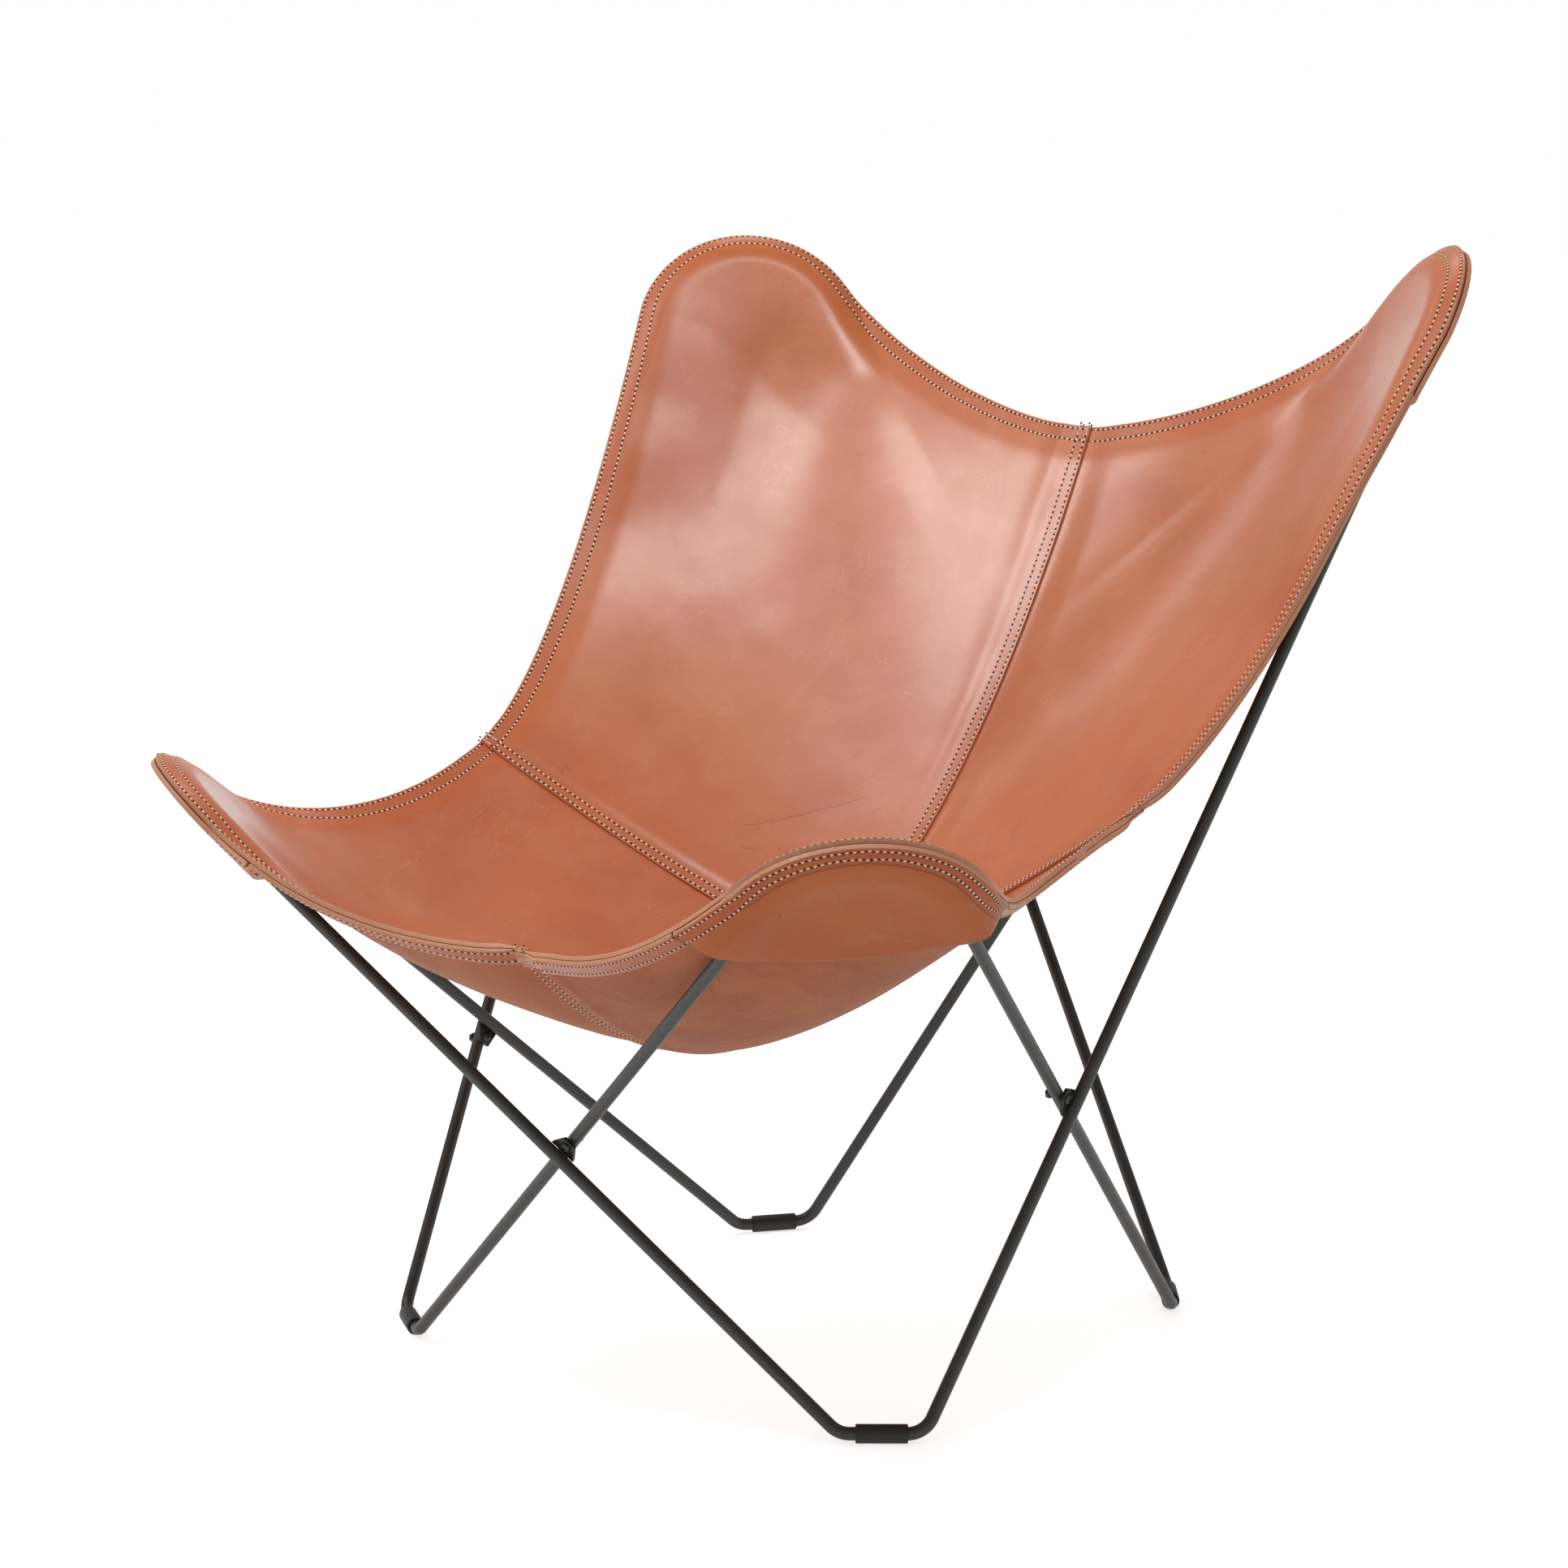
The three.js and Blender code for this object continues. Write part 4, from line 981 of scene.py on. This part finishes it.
def addPocket(panel):
    bend = panel.bend
    acrossEnd, uprightEnd = pocketShares(panel)
    count = pocket["rimSteps"]
    across = np.concatenate([np.linspace(acrossEnd, 1, count), np.ones(count - 1)])
    upright = np.concatenate([np.ones(count), np.linspace(1, uprightEnd, count)[1:]])
    rimHeight, rimOut, rimSide, _ = atBend(bend, panel.base(across, upright))
    ends = np.array([acrossEnd, 1 - panel.acrossBand]), np.array([1 - panel.uprightBand, uprightEnd])
    _, inOut, inSide, _ = atBend(bend, panel.base(*ends))
    runs = np.concatenate([[0], np.cumsum(np.hypot(np.diff(rimOut), np.diff(rimSide)))])
    runs /= runs[-1]
    above = surfaceOf([sheets[panel.name]], False)
    up = Vector(bend.normal)

    def roof(point):
        # how high over a point of the loop's plane the pocket may reach under its panel
        hit = above.ray_cast(Vector(point) - up * pocket["search"], up)[3]
        return pocket["deep"] if hit is None else hit - pocket["search"] - pocket["underPanel"]

    def onPocket(u, v):
        height, out, side = (np.interp(u, runs, values) for values in (rimHeight, rimOut, rimSide))
        share = (side - rimSide[0]) / (rimSide[-1] - rimSide[0])
        mouthOut = inOut[0] + (inOut[-1] - inOut[0]) * share - pocket["bow"] * 4 * share * (1 - share)
        mouthSide = inSide[0] + (inSide[-1] - inSide[0]) * share
        row = 1 - v
        outwards, sideways = out + (mouthOut - out) * row, side + (mouthSide - side) * row
        flat = bend.centre + bend.out * outwards[:, None] + bend.side * sideways[:, None]
        past = atBend(bend, flat)[3]
        nearRim = smooth(past, pocket["rodMargin"], sling["edgeMargin"])
        ridge = np.exp(-(past / pocket["ridgeWidth"]) ** 2)
        level = -overRod + np.where(past < 0, pocket["ridge"] * (1 - ridge), 0)
        underRim = height - leather["thickness"] - leather["clear"]
        wanted = level + (underRim - level) * nearRim
        rise = np.minimum(wanted, [roof(point) for point in flat])
        return flat + bend.normal * rise[:, None], np.tile(-bend.normal, (len(u), 1)), np.ones(len(u))

    name = f"pocket_{panel.name}"
    return addHide(f"{name}_leather", name, ["outside", "back", "edge"], "leather_back", panel, -1,
                   pocket["columns"], pocket["rows"], onPocket)


pockets = {panel.name: addPocket(panel) for panel in panels}
print("pockets made")


# Sewing: two rows round every edge and two along every seam, seen from above and from below

sewing = {
    "pitch": 0.0056, "length": 0.00145, "width": 0.00095, "height": 0.00050, "holeShade": 0.00130,
    "tackRun": 0.012, "keep": 0.0015, "farthest": 0.012, "wander": 5, "seed": 11,
}


def stitchShape():
    bm = bmesh.new()
    bmesh.ops.create_uvsphere(bm, u_segments=7, v_segments=5, radius=1)
    bmesh.ops.rotate(bm, cent=(0, 0, 0), matrix=Matrix.Rotation(math.pi / 2, 3, "Y"), verts=bm.verts)
    bmesh.ops.scale(bm, vec=(sewing["length"], sewing["width"], sewing["height"]), verts=bm.verts)
    return meshOf(bm, "stitch")


def holeShadeShape():
    # a flat dark disc, half sunk in the hide, as painted shade inside a needle hole
    bm = bmesh.new()
    bmesh.ops.create_icosphere(bm, subdivisions=1, radius=sewing["holeShade"])
    bmesh.ops.scale(bm, vec=(1, 1, 0.36), verts=bm.verts)
    for face in bm.faces:
        face.material_index = 1
    return meshOf(bm, "holeShade")


stitch, holeShade = stitchShape(), holeShadeShape()
spare = random.Random(sewing["seed"])


def evened(rows, times):
    for _ in range(times):
        rows[1:-1] = (rows[:-2] + 2 * rows[1:-1] + rows[2:]) / 4
    return rows


def sewRow(bm, line, normals, inward, distance, pieces, face, tacks=()):
    # one row of stitches at a distance inside a line, set on the sheets' face (1 above, -1 below)
    wanted = line + inward * distance
    spots, ways = [], []
    reach = leather["thickness"] * 1.5
    within, faces = pieces
    for point, normal in zip(wanted, normals):
        at, flat, _, off = within.find_nearest(Vector(point))
        if at is None or off > sewing["farthest"]:
            continue
        flat = flat if flat.dot(Vector(normal)) > 0 else -flat
        hit = faces.ray_cast(at + flat * face * reach, -flat * face, reach)[0]
        if hit is None:
            continue
        spots.append(np.array(hit))
        ways.append(np.array(flat))
    if len(spots) < 4:
        return
    spots, ways = evened(np.array(spots), 4), unit(evened(np.array(ways), 4))
    rail = Line(spots)
    count = int(rail.total / sewing["pitch"])
    shares = [(i + 0.5) / count for i in range(count)]
    for end in tacks:
        near = sewing["tackRun"] / rail.total
        shares += [s + 0.5 / count for s in shares if (s < near if end == 0 else s > 1 - near)]
    atShare = np.interp(shares, rail.lengths / rail.total, np.arange(len(spots)))
    for share, index in zip(shares, atShare):
        at = rail.at(np.array([share]))[0]
        way = unit(ways[int(index)] * face)
        behind, ahead = rail.at(np.array([max(0, share - 0.001), min(1, share + 0.001)]))
        along = unit(ahead - behind)
        side = unit(np.cross(way, along))
        turn = math.radians(spare.uniform(-sewing["wander"], sewing["wander"]))
        heading = along * math.cos(turn) + side * math.sin(turn)
        across = np.cross(way, heading)
        matrix = Matrix([[*row, 0] for row in np.stack([heading, across, way], axis=1)] + [[0, 0, 0, 1]])
        # each stitch gets a dark disc of painted needle-hole shade, half a pitch ahead of it
        for mesh, spot in ((stitch, at), (holeShade, at + heading * sewing["pitch"] / 2)):
            shape = mesh.copy()
            shape.transform(Matrix.Translation(Vector(spot)) @ matrix)
            bm.from_mesh(shape)
            bpy.data.meshes.remove(shape)


def inwardOf(points, normals, towards):
    # square to a line, in the sheet, on the side where the middle of the panel lies
    along = unit(np.gradient(points, axis=0))
    inward = unit(evened(np.cross(normals, along), 8))
    middleWay = towards - points[len(points) // 2]
    return inward if dot(inward[len(points) // 2], middleWay) > 0 else -inward


def sewPanel(panel, face):
    bm = bmesh.new()
    centre = panel.place(np.array([0.5]), np.array([0.5]))[0][0]
    held = [sheets[panel.name]] if face > 0 else bands[panel.name] + [pockets[panel.name]]
    surfaces = surfaceOf(held, False), surfaceOf(held, True)
    rim, normals = rimOf(panel, min(face, 0), panel.starts, 420)
    inward, ends, keep = inwardOf(rim, normals, centre), Line(rim), sewing["keep"]
    clear = (ends.lengths > keep) & (ends.lengths < ends.total - keep)
    for distance in hide["edgeRows"]:
        sewRow(bm, rim[clear], normals[clear], inward[clear], distance, surfaces, face)
    laps = lapLines(panel)
    if laps and face < 0:
        below = [sheets[name] for name in sheets if name != panel.name]
        surfaces = surfaceOf(below, False), surfaceOf(below, True)
    for line, lineNormals in laps:
        if face < 0:
            line = line - lineNormals * leather["thickness"] * leather["skivedShare"]
        sideways = inwardOf(line, lineNormals, centre)
        for distance in hide["lapRows"]:
            sewRow(bm, line, lineNormals, sideways, distance, surfaces, face, tacks=(1,))
    place = "top" if face > 0 else "under"
    return addPiece(f"stitches_{place}_{panel.name}", meshOf(bm, "sewing"), ["thread", "holeShade"], "leather")


rowsSewn = []
for panel in panels:
    for face in (1, -1):
        rowsSewn.append(sewPanel(panel, face))
print("sewing made:", len(rowsSewn), "pieces")


for panel in panels:
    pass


# Studio: pale floor, white surroundings, and a camera at the photograph's place

studio = {
    "camera": (2.2144, -2.8528, 1.0260), "azimuth": 38.19, "elevation": 8.64, "roll": -0.23, "lens": 97.15,
    "surround": 0.375, "backdropFade": (0.08, 0.34), "floorTone": 0.94, "floorGlow": 0.71, "floorHalf": 30,
}


def seenWhite(made, low=1.0):
    # 1 for camera rays, and for mirror and glass rays where the white surroundings stand
    camera, glossy, clear = (made.node("LightPath", output=f"Is {ray} Ray")
                             for ray in ("Camera", "Glossy", "Transmission"))
    return made.math("MAXIMUM", camera, made.math("MAXIMUM", glossy, clear) * low)


def makeWorld():
    # white all round for the camera; a mirror ray sees white up to the top of the backdrop only
    world = bpy.data.worlds.new("studio")
    world.use_nodes = True
    bpy.context.scene.world = world
    made = Nodes(world.node_tree)
    height = made.node("SeparateXYZ", {}, {0: made.node("TexCoord", output="Generated")}, output="Z")
    low, high = studio["backdropFade"]
    fade = made.node("MapRange", {}, {"Value": height, "From Min": low, "From Max": high,
                                      "To Min": 1, "To Max": 0})
    white = seenWhite(made, fade) * (1 - studio["surround"])
    background = made.tree.nodes["Background"]
    made.feed(background.inputs["Color"], (1, 1, 1, 1))
    made.feed(background.inputs["Strength"], white + studio["surround"])


def makeFloor():
    bm = bmesh.new()
    bmesh.ops.create_grid(bm, x_segments=1, y_segments=1, size=studio["floorHalf"])
    floor = bpy.data.objects.new("floor", meshOf(bm, "floor"))
    bpy.context.scene.collection.objects.link(floor)
    material = bpy.data.materials.new("paleFloor")
    material.use_nodes = True
    made, pale = Nodes(material.node_tree), studio["floorTone"]
    made.tree.nodes.remove(made.tree.nodes["Principled BSDF"])
    diffuse = made.node("BsdfDiffuse", {}, {"Color": (pale, pale, pale, 1)})
    glow = made.node("Emission", {}, {"Strength": seenWhite(made) * studio["floorGlow"]})
    total = made.node("AddShader", {}, {0: diffuse, 1: glow})
    made.feed(made.tree.nodes["Material Output"].inputs["Surface"], total)
    floor.data.materials.append(material)


# soft panels over the chair, facing down
lamps = {
    "over": {"at": (0.40, -0.30, 2.60), "size": (1.00, 0.28), "turn": 24, "power": 12.5},
    "left": {"at": (-1.35, -0.95, 2.60), "size": (1.40, 0.50), "turn": 0, "power": 24},
    "broad": {"at": (-0.65, -0.48, 2.62), "size": (1.70, 0.66), "turn": 0, "power": 8},
    "side": {"at": (-2.55, 0.85, 2.60), "size": (0.90, 0.90), "turn": 0, "power": 8},
    "behind": {"at": (-1.15, 1.50, 2.60), "size": (0.40, 1.10), "turn": 0, "power": 7},
}


def makeLamps():
    for name, lamp in lamps.items():
        light = bpy.data.lights.new(name, "AREA")
        light.shape = "RECTANGLE"
        light.size, light.size_y = lamp["size"]
        light.energy = lamp["power"]
        holder = bpy.data.objects.new(name, light)
        bpy.context.scene.collection.objects.link(holder)
        holder.location = lamp["at"]
        holder.rotation_euler.z = math.radians(lamp["turn"])


def makeCamera():
    azimuth, elevation, roll = (math.radians(studio[k]) for k in ("azimuth", "elevation", "roll"))
    back = Vector((math.sin(azimuth) * math.cos(elevation), -math.cos(azimuth) * math.cos(elevation),
                   math.sin(elevation)))
    level = Vector((math.cos(azimuth), math.sin(azimuth), 0))
    upright = back.cross(level)
    right = level * math.cos(roll) + upright * math.sin(roll)
    up = upright * math.cos(roll) - level * math.sin(roll)
    data = bpy.data.cameras.new("camera")
    data.lens = studio["lens"]
    data.sensor_width = 36
    camera = bpy.data.objects.new("camera", data)
    bpy.context.scene.collection.objects.link(camera)
    turn = Matrix((right, up, back)).transposed().to_4x4()
    camera.matrix_world = Matrix.Translation(Vector(studio["camera"])) @ turn
    bpy.context.scene.camera = camera


makeWorld()
makeFloor()
makeLamps()
makeCamera()
bpy.context.scene.view_settings.view_transform = "Standard"
print("studio made")
